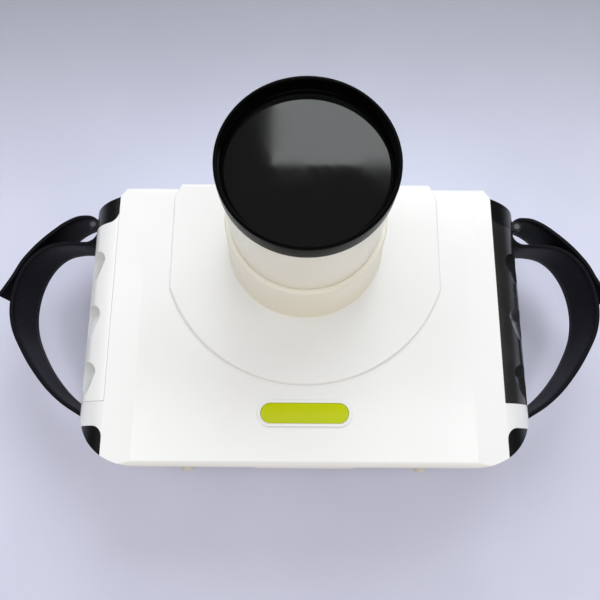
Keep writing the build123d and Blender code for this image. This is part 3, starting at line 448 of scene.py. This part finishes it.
def turnedPiece(name, profile, middle=(0.0, 0.0), sides=40):
    # a ring of edges pulled along a closed profile of (radius, height) points
    # a resize to a ten-thousandth has no effect, so a wide one nears its axis in two steps
    deselectAll()
    radius, height = profile[0]
    bpy.ops.mesh.primitive_circle_add(vertices=sides, radius=radius, location=(*middle, height))
    piece = openShape(name)
    for nextRadius, nextHeight in profile[1:] + profile[:1]:
        bpy.ops.mesh.extrude_region_move(
            TRANSFORM_OT_translate={"value": (0, 0, nextHeight - height)}
        )
        share = nextRadius / radius
        bpy.ops.transform.resize(value=(share, share, 1), center_override=(*middle, nextHeight))
        radius, height = nextRadius, nextHeight
    closeShape(2 * nearAxis)
    return piece


def slabPiece(name, middle, size, low, high, corner, rounding=6):
    # a flat plate with rounded corners, from low to high along Z
    deselectAll()
    bpy.ops.mesh.primitive_plane_add(size=1, location=(*middle, low))
    piece = openShape(name)
    bpy.ops.transform.resize(value=(*size, 1), center_override=(*middle, low))
    bpy.ops.mesh.bevel(offset=corner, segments=rounding, affect="VERTICES")
    bpy.ops.mesh.select_all(action="SELECT")
    bpy.ops.mesh.extrude_region_move(TRANSFORM_OT_translate={"value": (0, 0, high - low)})
    closeShape(weldWithin)
    return piece


def useModifier(piece, kind, **settings):
    # adds a modifier and applies it
    pickOnly(piece)
    made = piece.modifiers.new(kind.lower(), kind)
    for key, value in settings.items():
        setattr(made, key, value)
    bpy.ops.object.modifier_apply(modifier=made.name)


def standAlong(piece, place, turn):
    # turns a piece made round the Z axis at the middle of the world, and puts it in its place
    piece.rotation_euler = turn
    piece.location = place


def finishPiece(piece, slotName, body, *nodes, edge=0.0, steps=3, angle=50.0, look=None):
    # rounds its edges, gives it its finish, hangs it on what it rides on, and hides the frame's
    # pieces that it stands for
    if edge:
        useModifier(
            piece, "BEVEL", width=edge, segments=steps, limit_method="ANGLE",
            angle_limit=math.radians(30),
        )
    pickOnly(piece)
    bpy.ops.object.transform_apply(location=True, rotation=True, scale=True)
    bpy.ops.object.shade_smooth_by_angle(angle=math.radians(angle))
    piece.data.materials.clear()
    piece.data.materials.append(look or finishes[slotName])
    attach(piece, body)
    if nodes:
        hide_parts(*nodes)
    return piece


def copyOf(piece, name, move=(0.0, 0.0, 0.0)):
    # a copy with its own mesh, taken before the first one is finished
    twin = piece.copy()
    twin.data = piece.data.copy()
    twin.name = name
    bpy.context.scene.collection.objects.link(twin)
    twin.location = Vector(piece.location) + Vector(move)
    return twin


# The cone: neck, tube, end ring and window are turned about the beam, each from its own profile.
cone = {
    "middle": (0.0, 0.03355),
    "sides": 160,
    "neck": [
        (0.0280, 0.0795), (0.0361, 0.0795), (0.03578, 0.07985), (0.03558, 0.08045), (0.03548, 0.0813),
        (0.03472, 0.0960), (0.03406, 0.1104), (0.03392, 0.1113), (0.03355, 0.1118), (0.0330, 0.1120),
        (0.03165, 0.1120), (0.03153, 0.1119), (0.03153, 0.1105), (0.0317, 0.1100), (0.0317, 0.0980),
        (0.0280, 0.0980),
    ],
    "tube": [
        (0.0285, 0.0980), (0.0315, 0.0980), (0.0315, 0.1260), (0.0315, 0.1540), (0.0285, 0.1540),
    ],
    "ring": [
        (0.0289, 0.1560), (0.0302, 0.1560), (0.0302, 0.1540), (0.0316, 0.1540), (0.0320, 0.1543),
        (0.0320, 0.1612), (0.03192, 0.1619), (0.0317, 0.16235), (0.0313, 0.1626), (0.0309, 0.16265),
        (0.0306, 0.1625), (0.03042, 0.1621), (0.03036, 0.1614), (0.03012, 0.15705), (0.0300, 0.1568),
        (0.02975, 0.1565), (0.0291, 0.1565), (0.0289, 0.1563),
    ],
    "window": [  # the rings inside the flat face keep its shading flat
        (nearAxis, 0.1540), (0.0298, 0.1540), (0.0300, 0.1542), (0.0300, 0.1556), (0.0297, 0.1559),
        (0.0288, 0.1560), (0.0286, 0.1560), (0.0200, 0.1560), (0.0100, 0.1560), (nearAxis, 0.1560),
    ],
}
coneNeck = turnedPiece("coneNeck", cone["neck"], cone["middle"], cone["sides"])
finishPiece(coneNeck, "cone_white", "housing", "cone_neck")
coneTube = turnedPiece("coneTube", cone["tube"], cone["middle"], cone["sides"])
finishPiece(coneTube, "cone_white", "housing", "cone_tube", edge=0.0002, angle=35)
coneEndRing = turnedPiece("coneEndRing", cone["ring"], cone["middle"], cone["sides"])
finishPiece(
    coneEndRing, "black_satin", "housing", "cone_end_ring", angle=40, look=looks["cone_end_ring"],
)
beamWindow = turnedPiece("beamWindow", cone["window"], cone["middle"], cone["sides"])
finishPiece(beamWindow, "black_gloss", "housing", "beam_window", angle=40)
print("cone made")

# The badge on the front: a raised rim round a bare lime plate.
badge = {
    "middle": (0.0, -0.04495), "width": 0.0415, "height": 0.0116, "rim": 0.0013,
    "low": 0.0772, "floor": 0.0776, "plate": 0.0783, "top": 0.0788, "gap": 0.0001,
    "rounding": 24, "spare": 0.00001,  # spare keeps the corners of a round end from meeting
    "frameEdge": 0.00035, "plateEdge": 0.00018,
}
badgeFrame = slabPiece(
    "badgeFrame", badge["middle"], (badge["width"], badge["height"]), badge["low"], badge["top"],
    badge["height"] / 2 - badge["spare"], badge["rounding"],
)
selectFaces(badgeFrame, facesUp)
bpy.ops.mesh.inset(thickness=badge["rim"])
bpy.ops.mesh.extrude_region_move(
    TRANSFORM_OT_translate={"value": (0, 0, badge["floor"] - badge["top"])}
)
finishPiece(badgeFrame, "housing_white", "housing", "badge_frame", edge=badge["frameEdge"])
inside = badge["rim"] + badge["gap"]
badgePlate = slabPiece(
    "badgePlate", badge["middle"], (badge["width"] - 2 * inside, badge["height"] - 2 * inside),
    badge["floor"], badge["plate"], badge["height"] / 2 - inside - badge["spare"],
    badge["rounding"],
)
finishPiece(badgePlate, "lime", "housing", "badge_plate", edge=badge["plateEdge"])
print("badge made")

# Hand straps: one band each, from the bar in the slot, round the hand's gap, over the upper bar
# and back outside itself to a short free end. A stop is how far out it lies from the unit's side,
# its y, and how far in x and y the band's front edge leans away from its middle line there; the
# rear edge leans the other way.
strap = {
    "side": -0.105,
    "front": 0.0500, "rear": 0.0220,  # heights of the band's two edges
    "thickness": 0.0019, "edge": 0.0004,
    "eye": (-0.1010, -0.04515), "eyeRadius": 0.0027,
    "eyeStops": 11, "eyeFrom": 170, "eyeStep": -29,  # degrees, clockwise
    "loop": (-0.11405, 0.05130), "loopRadius": 0.00695,
    "loopStops": 9, "loopFrom": -90, "loopStep": 22.5,  # degrees, anticlockwise
    "hand": [
        (0.0055, -0.04295, 0.0000, 0.0000), (0.0133, -0.03805, 0.0001, 0.0000),
        (0.0212, -0.03115, 0.0001, 0.0000), (0.0292, -0.02155, 0.0000, 0.0000),
        (0.0353, -0.01195, -0.0003, 0.0000), (0.0398, -0.00275, -0.0007, 0.0000),
        (0.0420, 0.00635, -0.0009, 0.0000), (0.0422, 0.01505, -0.0009, 0.0000),
        (0.0408, 0.02355, -0.0008, -0.0001), (0.0376, 0.03185, -0.0006, -0.0003),
        (0.0326, 0.03850, -0.0003, -0.0008), (0.0260, 0.04275, 0.0000, -0.0013),
        (0.0180, 0.04430, 0.0000, -0.0016),
    ],
    "loopLean": (0.0, -0.0016), "loopShift": 0.0008,
    "back": [
        (0.0145, 0.05830, 0.0000, -0.0015), (0.0205, 0.05490, -0.0003, -0.0014),
        (0.0262, 0.04990, -0.0005, -0.0012), (0.0310, 0.04500, -0.0006, -0.0009),
        (0.0353, 0.03990, -0.0006, -0.0007), (0.0399, 0.03340, -0.0005, -0.0005),
        (0.0436, 0.02570, -0.0004, -0.0003), (0.0468, 0.02000, -0.0003, -0.0002),
        (0.0500, 0.01470, -0.0002, -0.0001),
    ],
    "stepsAlong": 260, "stepsAcross": 6,
}


def strapStops():
    stops = []
    eyeX, eyeY = strap["eye"]
    for number in range(strap["eyeStops"]):  # round the lower bar, then off towards the hand
        angle = math.radians(strap["eyeFrom"] + strap["eyeStep"] * number)
        stops.append((
            eyeX + strap["eyeRadius"] * math.cos(angle),
            eyeY + strap["eyeRadius"] * math.sin(angle), 0.0, 0.0,
        ))
    stops += [(strap["side"] - out, y, leanX, leanY) for out, y, leanX, leanY in strap["hand"]]
    loopX, loopY = strap["loop"]
    for number in range(strap["loopStops"]):  # round the upper bar
        angle = math.radians(strap["loopFrom"] + strap["loopStep"] * number)
        lift = strap["loopShift"] * number / (strap["loopStops"] - 1)
        stops.append((
            loopX + strap["loopRadius"] * math.cos(angle),
            loopY + strap["loopRadius"] * math.sin(angle) + lift, *strap["loopLean"],
        ))
    stops += [(strap["side"] - out, y, leanX, leanY) for out, y, leanX, leanY in strap["back"]]
    return stops


def smoothRun(stops, count, fineSteps=24):
    # evenly spaced places on a smooth line through the stops, and the length of that line
    fine = []
    for number in range(len(stops) - 1):
        before = Vector(stops[max(number - 1, 0)])
        start, end = Vector(stops[number]), Vector(stops[number + 1])
        after = Vector(stops[min(number + 2, len(stops) - 1)])
        for step in range(fineSteps):
            t = step / fineSteps
            fine.append(0.5 * (
                2 * start + (end - before) * t + (2 * before - 5 * start + 4 * end - after) * t * t
                + (3 * start - before - 3 * end + after) * t * t * t
            ))
    fine.append(Vector(stops[-1]))
    reach = [0.0]
    for first, second in zip(fine, fine[1:]):
        reach.append(reach[-1] + (second.xy - first.xy).length)
    places, spot = [], 0
    for number in range(count + 1):
        wanted = reach[-1] * number / count
        while spot < len(reach) - 2 and reach[spot + 1] < wanted:
            spot += 1
        share = (wanted - reach[spot]) / (reach[spot + 1] - reach[spot])
        places.append(fine[spot].lerp(fine[spot + 1], share))
    return places, reach[-1]


places, length = smoothRun(strapStops(), strap["stepsAlong"])
deselectAll()
bpy.ops.mesh.primitive_grid_add(
    x_subdivisions=strap["stepsAlong"], y_subdivisions=strap["stepsAcross"], size=1
)
handStrapLeft = bpy.context.object
handStrapLeft.name = "handStrapLeft"
bandMesh = handStrapLeft.data
for spot in bandMesh.uv_layers[0].data:
    spot.uv = (spot.uv[0] * length, spot.uv[1] * strapLook["width"])
for point in bandMesh.vertices:
    along, across = round((point.co.x + 0.5) * strap["stepsAlong"]), point.co.y + 0.5
    x, y, leanX, leanY = places[along]
    away = 2 * across - 1  # -1 at the rear edge, 1 at the front edge
    point.co = (
        x + leanX * away, y + leanY * away,
        strap["rear"] + (strap["front"] - strap["rear"]) * across,
    )
useModifier(handStrapLeft, "SOLIDIFY", thickness=strap["thickness"], offset=0.0)
handStrapRight = copyOf(handStrapLeft, "handStrapRight")
for point in handStrapRight.data.vertices:  # the other hand's strap is its mirror image
    point.co.x = -point.co.x
faceModeOn(handStrapRight)
bpy.ops.mesh.select_all(action="SELECT")
bpy.ops.mesh.flip_normals()
bpy.ops.object.mode_set(mode="OBJECT")
for band, node in ((handStrapLeft, "strap_left"), (handStrapRight, "strap_right")):
    finishPiece(band, "strap", "housing", node, edge=strap["edge"], steps=2, angle=40)
print("hand straps made")

# Feet under the bottom face: little domed pads.
foot = {
    "x": 0.057, "y": -0.06695, "z": 0.038, "radius": 0.0030, "length": 0.0038, "dome": 0.0007,
    "curve": [(1.0, 1.0), (0.94, 0.45), (0.76, 0.12), (0.40, 0.0)],  # shares of radius and dome
}
footDome = [
    (foot["radius"] * out, foot["length"] - foot["dome"] * down) for out, down in foot["curve"]
]
footProfile = [(nearAxis, 0.0), (foot["radius"], 0.0), *footDome, (nearAxis, foot["length"])]
footLeft = turnedPiece("footLeft", footProfile, sides=48)
standAlong(footLeft, (-foot["x"], foot["y"], foot["z"]), towardsBottom)
footRight = copyOf(footLeft, "footRight", (2 * foot["x"], 0, 0))
for pad in (footLeft, footRight):
    finishPiece(pad, "cream_rubber", "housing", "feet")
print("feet made")

# Round buttons on the top face: a dished cap with a raised sign, on a disc and a stem.
buttonShape = {
    "z": 0.030, "discTop": 0.06185,  # the disc stays just under the collar's lip
    "discThick": 0.0030, "discOut": 0.0008, "stem": 0.0020, "stemEdge": 0.0003, "round": 0.0010,
    "ringShare": 0.42, "ringHalf": 0.0004, "ringTaper": 0.0001, "ringRise": 0.00028,
    "barSize": (0.0008, 0.0026), "barCorner": 0.0003, "barRise": 0.00034,
    "signSink": 0.0002, "signEdge": 0.00008,
}
buttons = {
    "exposureButton": {
        "node": "exposure_button", "x": -0.0695, "slot": "button_orange", "radius": 0.0082,
        "dish": 0.0006,
    },
    "powerButton": {
        "node": "power_button", "x": 0.0695, "slot": "key_grey", "radius": 0.0055,
        "dish": 0.0004,
    },
}


def capProfile(radius, low, top, dish):
    # from the stem's foot up to the disc, the cap's rounded edge and the middle of its dish
    stem, stemEdge, edge = buttonShape["stem"], buttonShape["stemEdge"], buttonShape["round"]
    discTop, discRadius = buttonShape["discTop"], radius + buttonShape["discOut"]
    discLow = discTop - buttonShape["discThick"]
    return [
        (nearAxis, low), (stem - stemEdge, low), (stem, low + stemEdge), (stem, discLow),
        (discRadius, discLow), (discRadius, discTop), (radius, discTop),
        (radius, top - edge), (radius - 0.13 * edge, top - 0.5 * edge),
        (radius - 0.5 * edge, top - 0.13 * edge), (radius - edge, top),
        (radius - 1.6 * edge, top - 0.08 * edge), (radius * 0.62, top - dish * 0.7),
        (radius * 0.30, top - dish), (nearAxis, top - dish),
    ]


for name, button in buttons.items():
    low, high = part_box(button["node"])
    place = (button["x"], 0.0, buttonShape["z"])
    cap = turnedPiece(name, capProfile(button["radius"], low.y, high.y, button["dish"]), sides=80)
    standAlong(cap, place, towardsTop)
    finishPiece(cap, button["slot"], button["node"], button["node"], angle=40)
    dishFloor, half = high.y - button["dish"], buttonShape["ringHalf"]
    ringLow, ringTop = dishFloor - buttonShape["signSink"], dishFloor + buttonShape["ringRise"]
    ringRadius, thin = button["radius"] * buttonShape["ringShare"], half - buttonShape["ringTaper"]
    sign = turnedPiece(name + "Ring", [
        (ringRadius - half, ringLow), (ringRadius + half, ringLow),
        (ringRadius + thin, ringTop), (ringRadius - thin, ringTop),
    ], sides=64)
    standAlong(sign, place, towardsTop)
    finishPiece(sign, "housing_white", button["node"], edge=buttonShape["signEdge"])
    if name == "powerButton":  # its sign also has a bar through the ring
        bar = slabPiece(
            "powerButtonBar", (0.0, ringRadius * 0.9), buttonShape["barSize"], ringLow,
            dishFloor + buttonShape["barRise"], buttonShape["barCorner"], 3,
        )
        standAlong(bar, place, towardsTop)
        finishPiece(bar, "housing_white", button["node"], edge=buttonShape["signEdge"])
print("buttons made")

# Keys on the rear panel: dished caps with raised signs. The rear faces down, so the caps are
# made upside down, from the flange at the high side to the cap's face at the low side.
keys = {
    "key_tooth": (-0.025, -0.01895), "key_patient": (0.0, -0.01895), "key_film": (0.025, -0.01895),
    "key_minus": (-0.025, -0.03395), "key_ready": (0.0, -0.03395), "key_plus": (0.025, -0.03395),
}
keyShape = {
    "size": (0.016, 0.009), "corner": 0.0017, "low": 0.0008, "high": 0.0046, "flange": 0.0010,
    "flangeOut": 0.0012, "dishInset": 0.0011, "dish": 0.00035, "dishNarrow": (0.9, 0.85),
    "edge": 0.0003, "signRise": 0.00025, "signSink": 0.0001, "signEdge": 0.00006,
}
keyDishFloor = keyShape["low"] + keyShape["dish"]
signLow, signHigh = keyDishFloor - keyShape["signRise"], keyDishFloor + keyShape["signSink"]


def signSlab(name, key, size, corner, move=(0.0, 0.0)):
    # a flat mark on a key's face, moved from the key's middle
    x, y = keys[key]
    made = slabPiece(name, (x + move[0], y + move[1]), size, signLow, signHigh, corner, 4)
    return finishPiece(made, "housing_white", key, edge=keyShape["signEdge"])


def signRing(name, key, radius, band, move=(0.0, 0.0)):
    # a round mark, as wide as its band
    x, y = keys[key]
    made = turnedPiece(name, [
        (radius - band, signLow), (radius, signLow), (radius, signHigh), (radius - band, signHigh),
    ], (x + move[0], y + move[1]))
    return finishPiece(made, "housing_white", key, edge=keyShape["signEdge"])


firstX, firstY = keys["key_tooth"]
keyCap = slabPiece(
    "keyCapTooth", (firstX, firstY), keyShape["size"], keyShape["low"],
    keyShape["high"] - keyShape["flange"], keyShape["corner"],
)
selectFaces(keyCap, facesUp)  # the flange
bpy.ops.mesh.extrude_region_move(TRANSFORM_OT_translate={"value": (0, 0, 0)})
grow = [1 + 2 * keyShape["flangeOut"] / side for side in keyShape["size"]]
bpy.ops.transform.resize(value=(*grow, 1), center_override=(firstX, firstY, keyShape["high"]))
bpy.ops.mesh.extrude_region_move(TRANSFORM_OT_translate={"value": (0, 0, keyShape["flange"])})
selectFaces(keyCap, lambda face: facesDown(face) and face.center.z < keyDishFloor)  # the dish
bpy.ops.mesh.inset(thickness=keyShape["dishInset"])
bpy.ops.mesh.extrude_region_move(TRANSFORM_OT_translate={"value": (0, 0, keyShape["dish"])})
bpy.ops.transform.resize(
    value=(*keyShape["dishNarrow"], 1), center_override=(firstX, firstY, 0)
)
bpy.ops.object.mode_set(mode="OBJECT")
keyCaps = {"key_tooth": keyCap}
for key, (x, y) in keys.items():
    if key not in keyCaps:
        capName = "keyCap" + key.split("_")[1].capitalize()
        keyCaps[key] = copyOf(keyCap, capName, (x - firstX, y - firstY, 0))
for key, cap in keyCaps.items():
    finishPiece(cap, "key_grey", key, key, edge=keyShape["edge"])
signSlab("signMinus", "key_minus", (0.0040, 0.0008), 0.0003)
signSlab("signPlusAcross", "key_plus", (0.0040, 0.0008), 0.0003)
signSlab("signPlusUp", "key_plus", (0.0008, 0.0040), 0.0003)
signRing("signReady", "key_ready", 0.0019, 0.0006)
signRing("signHead", "key_patient", 0.0009, 0.00085, move=(0.0, 0.0014))
signSlab("signShoulders", "key_patient", (0.0036, 0.0019), 0.0009, move=(0.0, -0.0009))
signSlab("signCrown", "key_tooth", (0.0034, 0.0017), 0.0006, move=(0.0, 0.0007))
signSlab("signRootLeft", "key_tooth", (0.0010, 0.0017), 0.0004, move=(-0.0009, -0.00085))
signSlab("signRootRight", "key_tooth", (0.0010, 0.0017), 0.0004, move=(0.0009, -0.00085))
signSlab("signFilm", "key_film", (0.0036, 0.0026), 0.0004)
print("keys made")

# Display window: a rounded pane with a bevelled rim, and plain number bars behind its surface.
display = {
    "middle": (0.0, 0.01405), "size": (0.066, 0.040), "low": 0.0020, "high": 0.0035,
    "corner": 0.0020, "edge": 0.0003, "digitAt": (0.0140, 0.0030, -0.0080), "digitY": 0.0145,
    "barPitch": 0.0052, "barShare": 0.84, "barWide": 0.0009, "barCorner": 0.0003,
    "barLow": 0.00192, "barIntoPane": 0.0002,
}


def litPlastic(name):
    # the lit bars of the numbers, a little brighter in patches
    made, shader, wire = startFinish(name, (0.35, 0.85, 0.60), 0.4, Emission_Strength=0.5)
    glow = cloudMask(wire, wire.node("TexCoord", out="Object"), scale=400.0)
    glow.tint((0.30, 0.80, 0.55), (0.40, 0.90, 0.66)).feed(shader, "Base Color")
    glow.tint((0.25, 0.75, 0.50), (0.32, 0.84, 0.58)).feed(shader, "Emission Color")
    return made


pane = slabPiece(
    "displayPane", display["middle"], display["size"], display["low"], display["high"],
    display["corner"],
)
finishPiece(pane, "display_glass", "housing", "display_window", edge=display["edge"])
litBar = litPlastic("litBars")
litDigits = {"zero": "abcdef", "four": "bcfg", "zeroAgain": "abcdef"}
# x and y in bar pitches from the digit's middle, then 1 where the bar stands up. Seen from the
# rear, x runs to the left.
barPlaces = {
    "a": (0, 1, 0), "b": (-0.5, 0.5, 1), "c": (-0.5, -0.5, 1), "d": (0, -1, 0),
    "e": (0.5, -0.5, 1), "f": (0.5, 0.5, 1), "g": (0, 0, 0),
}
pitch, wide = display["barPitch"], display["barWide"]
barLength = pitch * display["barShare"]
for (digit, bars), digitX in zip(litDigits.items(), display["digitAt"]):
    for letter in bars:
        across, up, upright = barPlaces[letter]
        bar = slabPiece(
            "bar" + digit.capitalize() + letter.upper(),
            (digitX + across * pitch, display["digitY"] + up * pitch),
            (wide, barLength) if upright else (barLength, wide),
            display["barLow"], display["low"] + display["barIntoPane"], display["barCorner"], 2,
        )
        finishPiece(bar, "display_panel", "housing", look=litBar)
print("display made")

# Charging socket's flap: a soft cap, a little sunk inside its rim, and a knuckle round its pin.
flapShape = {
    "thickness": 0.0018, "corner": 0.0012, "rim": 0.0012, "sunk": 0.0003, "edge": 0.0003,
    "knuckle": 0.0011, "bore": 0.00065, "halfLength": 0.0075, "endEdge": 0.0002,
}
flapLow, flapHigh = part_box("socket_flap")
knuckleRadius, halfLength = flapShape["knuckle"], flapShape["halfLength"]
flap = slabPiece(
    "socketFlap", (0.0, 0.0), (flapHigh.x - flapLow.x, flapHigh.z - flapLow.z - knuckleRadius),
    0.0, flapShape["thickness"], flapShape["corner"], 5,
)
selectFaces(flap, facesUp)
bpy.ops.mesh.inset(thickness=flapShape["rim"])
bpy.ops.mesh.extrude_region_move(TRANSFORM_OT_translate={"value": (0, 0, -flapShape["sunk"])})
bpy.ops.object.mode_set(mode="OBJECT")
flapMiddleX = (flapLow.x + flapHigh.x) / 2
flapMiddleZ = (flapLow.z + knuckleRadius + flapHigh.z) / 2
standAlong(flap, (flapMiddleX, flapLow.y + flapShape["thickness"], flapMiddleZ), towardsBottom)
finishPiece(flap, "cream_rubber", "socket_flap", "socket_flap", edge=flapShape["edge"])
endRadius, endFrom = knuckleRadius - flapShape["endEdge"] / 2, halfLength - flapShape["endEdge"]
knuckle = turnedPiece("flapKnuckle", [
    (flapShape["bore"], -halfLength), (endRadius, -halfLength), (knuckleRadius, -endFrom),
    (knuckleRadius, endFrom), (endRadius, halfLength), (flapShape["bore"], halfLength),
])
pinPlace = (flapMiddleX, flapLow.y + knuckleRadius, flapLow.z + knuckleRadius)
standAlong(knuckle, pinPlace, towardsRight)
finishPiece(knuckle, "cream_rubber", "socket_flap", "socket_flap", angle=40)
print("flap made")

# Case screws, seen from the rear in their deep holes: a chamfered head with a round socket.
screw = {
    "places": [(-0.054, 0.05105), (0.054, 0.05105), (-0.066, -0.05395), (0.066, -0.05395)],
    "head": 0.0028, "headEdge": 0.0005, "headLow": 0.0040, "headHigh": 0.0060,
    "shank": 0.00125, "end": 0.0620, "point": 0.0012, "tip": 0.0003,
    "socket": 0.00145, "socketDepth": 0.0013,
}
headLow, socketFloor = screw["headLow"], screw["headLow"] + screw["socketDepth"]
firstX, firstY = screw["places"][0]
caseScrews = [turnedPiece("caseScrew1", [
    (screw["socket"], headLow), (screw["head"] - screw["headEdge"], headLow),
    (screw["head"], headLow + screw["headEdge"]), (screw["head"], screw["headHigh"]),
    (screw["shank"], screw["headHigh"]), (screw["shank"], screw["end"] - screw["point"]),
    (screw["tip"], screw["end"]), (nearAxis, screw["end"]),
    (nearAxis, socketFloor), (screw["socket"], socketFloor),
], (firstX, firstY), 48)]
for x, y in screw["places"][1:]:
    screwName = "caseScrew" + str(len(caseScrews) + 1)
    caseScrews.append(copyOf(caseScrews[0], screwName, (x - firstX, y - firstY, 0)))
for caseScrew in caseScrews:
    finishPiece(caseScrew, "steel", "housing", "case_screws", angle=40)
print("screws made")

# A pale floor and soft light from large panels; the ceiling panel shows in the window.
floorSheet = {
    "width": 4.0, "squares": 8, "z": -0.0002,
    "colour": (0.665, 0.685, 0.85), "shade": (0.635, 0.655, 0.82),
    "farShadeColour": (0.28, 0.29, 0.35), "farStart": 0.04, "farEnd": 0.27,
    "rough": 0.55, "roughSpread": 0.05, "grain": 600.0, "depth": 0.00001,
}


def paperFloor(look):
    # pale paper, with painted shade that makes it greyer behind the unit
    made, shader, wire = startFinish("floorPale", look["colour"], look["rough"])
    place = wire.node("TexCoord", out="Object")
    near = cloudMask(wire, place, scale=14.0).tint(look["colour"], look["shade"])
    back = wire.node("SeparateXYZ", None, {"Vector": place}, out="Y")
    # painted shade: the floor darkens towards the back
    far = wire.node("MapRange", {"interpolation_type": "SMOOTHSTEP"}, {
        "Value": back, "From Min": look["farStart"], "From Max": look["farEnd"],
    })
    far.tint(near, look["farShadeColour"]).feed(shader, "Base Color")
    worn = cloudMask(wire, place, scale=40.0)
    (look["rough"] + worn * look["roughSpread"]).feed(shader, "Roughness")
    grain = wire.node("TexNoise", None, {"Vector": place, "Scale": look["grain"], "Detail": 2.0})
    addRelief(wire, shader, grain, look["depth"])
    return made


deselectAll()
bpy.ops.mesh.primitive_grid_add(
    x_subdivisions=floorSheet["squares"], y_subdivisions=floorSheet["squares"],
    size=floorSheet["width"], location=(0, 0, floorSheet["z"])
)
floor = bpy.context.object
floor.name = "floor"
floor.data.materials.append(paperFloor(floorSheet))

surround = {
    "light": (0.16, 0.152, 0.145),  # what falls on the unit from all round
    "seen": (0.70, 0.71, 0.78),  # what the camera sees past the floor's edge, and through glass
}
world = bpy.data.worlds.new("world")
bpy.context.scene.world = world
world.use_nodes = True
background = world.node_tree.nodes["Background"]
sky = Wire(world.node_tree)
seen = sky.node("LightPath", out="Is Camera Ray")
through = sky.node("LightPath", out="Is Transmission Ray")
pale = sky.maths("MAXIMUM", seen, through)
pale.tint(surround["light"], surround["seen"]).feed(background, "Color")

lampsAim = (0.0, 0.0, 0.06)
lamps = {
    "ceilingPanel": {
        "place": (0.475, 1.00, 1.15), "size": (1.08, 0.93), "power": 11.4,
        "colour": (0.95, 1.0, 1.0), "down": True,
    },
    "windowBack": {"place": (-0.25, 1.25, 1.00), "size": (1.6, 0.8), "power": 9.2},
    "overhead": {"place": (0.0, -0.25, 1.50), "size": (1.2, 0.7), "power": 6.3},
    "windowLeft": {"place": (-1.05, 0.35, 1.20), "size": (1.0, 1.2), "power": 4.4},
    "softRight": {"place": (1.00, 0.00, 1.30), "size": (1.0, 1.2), "power": 3.0},
    "warmFront": {
        "place": (0.10, -1.25, 0.42), "size": (1.6, 0.6), "power": 4.8,
        "colour": (1.0, 0.86, 0.66),
    },
}
for name, lamp in lamps.items():
    light = bpy.data.lights.new(name, "AREA")
    light.shape = "RECTANGLE"
    light.size, light.size_y = lamp["size"]
    light.energy = lamp["power"]
    light.color = lamp.get("colour", (1.0, 1.0, 1.0))
    hung = bpy.data.objects.new(name, light)
    bpy.context.scene.collection.objects.link(hung)
    hung.location = lamp["place"]
    if not lamp.get("down"):  # the others turn towards the unit
        aim = Vector(lampsAim) - Vector(lamp["place"])
        hung.rotation_mode = "QUATERNION"
        hung.rotation_quaternion = aim.to_track_quat("-Z", "Y")
print("floor and lamps placed")
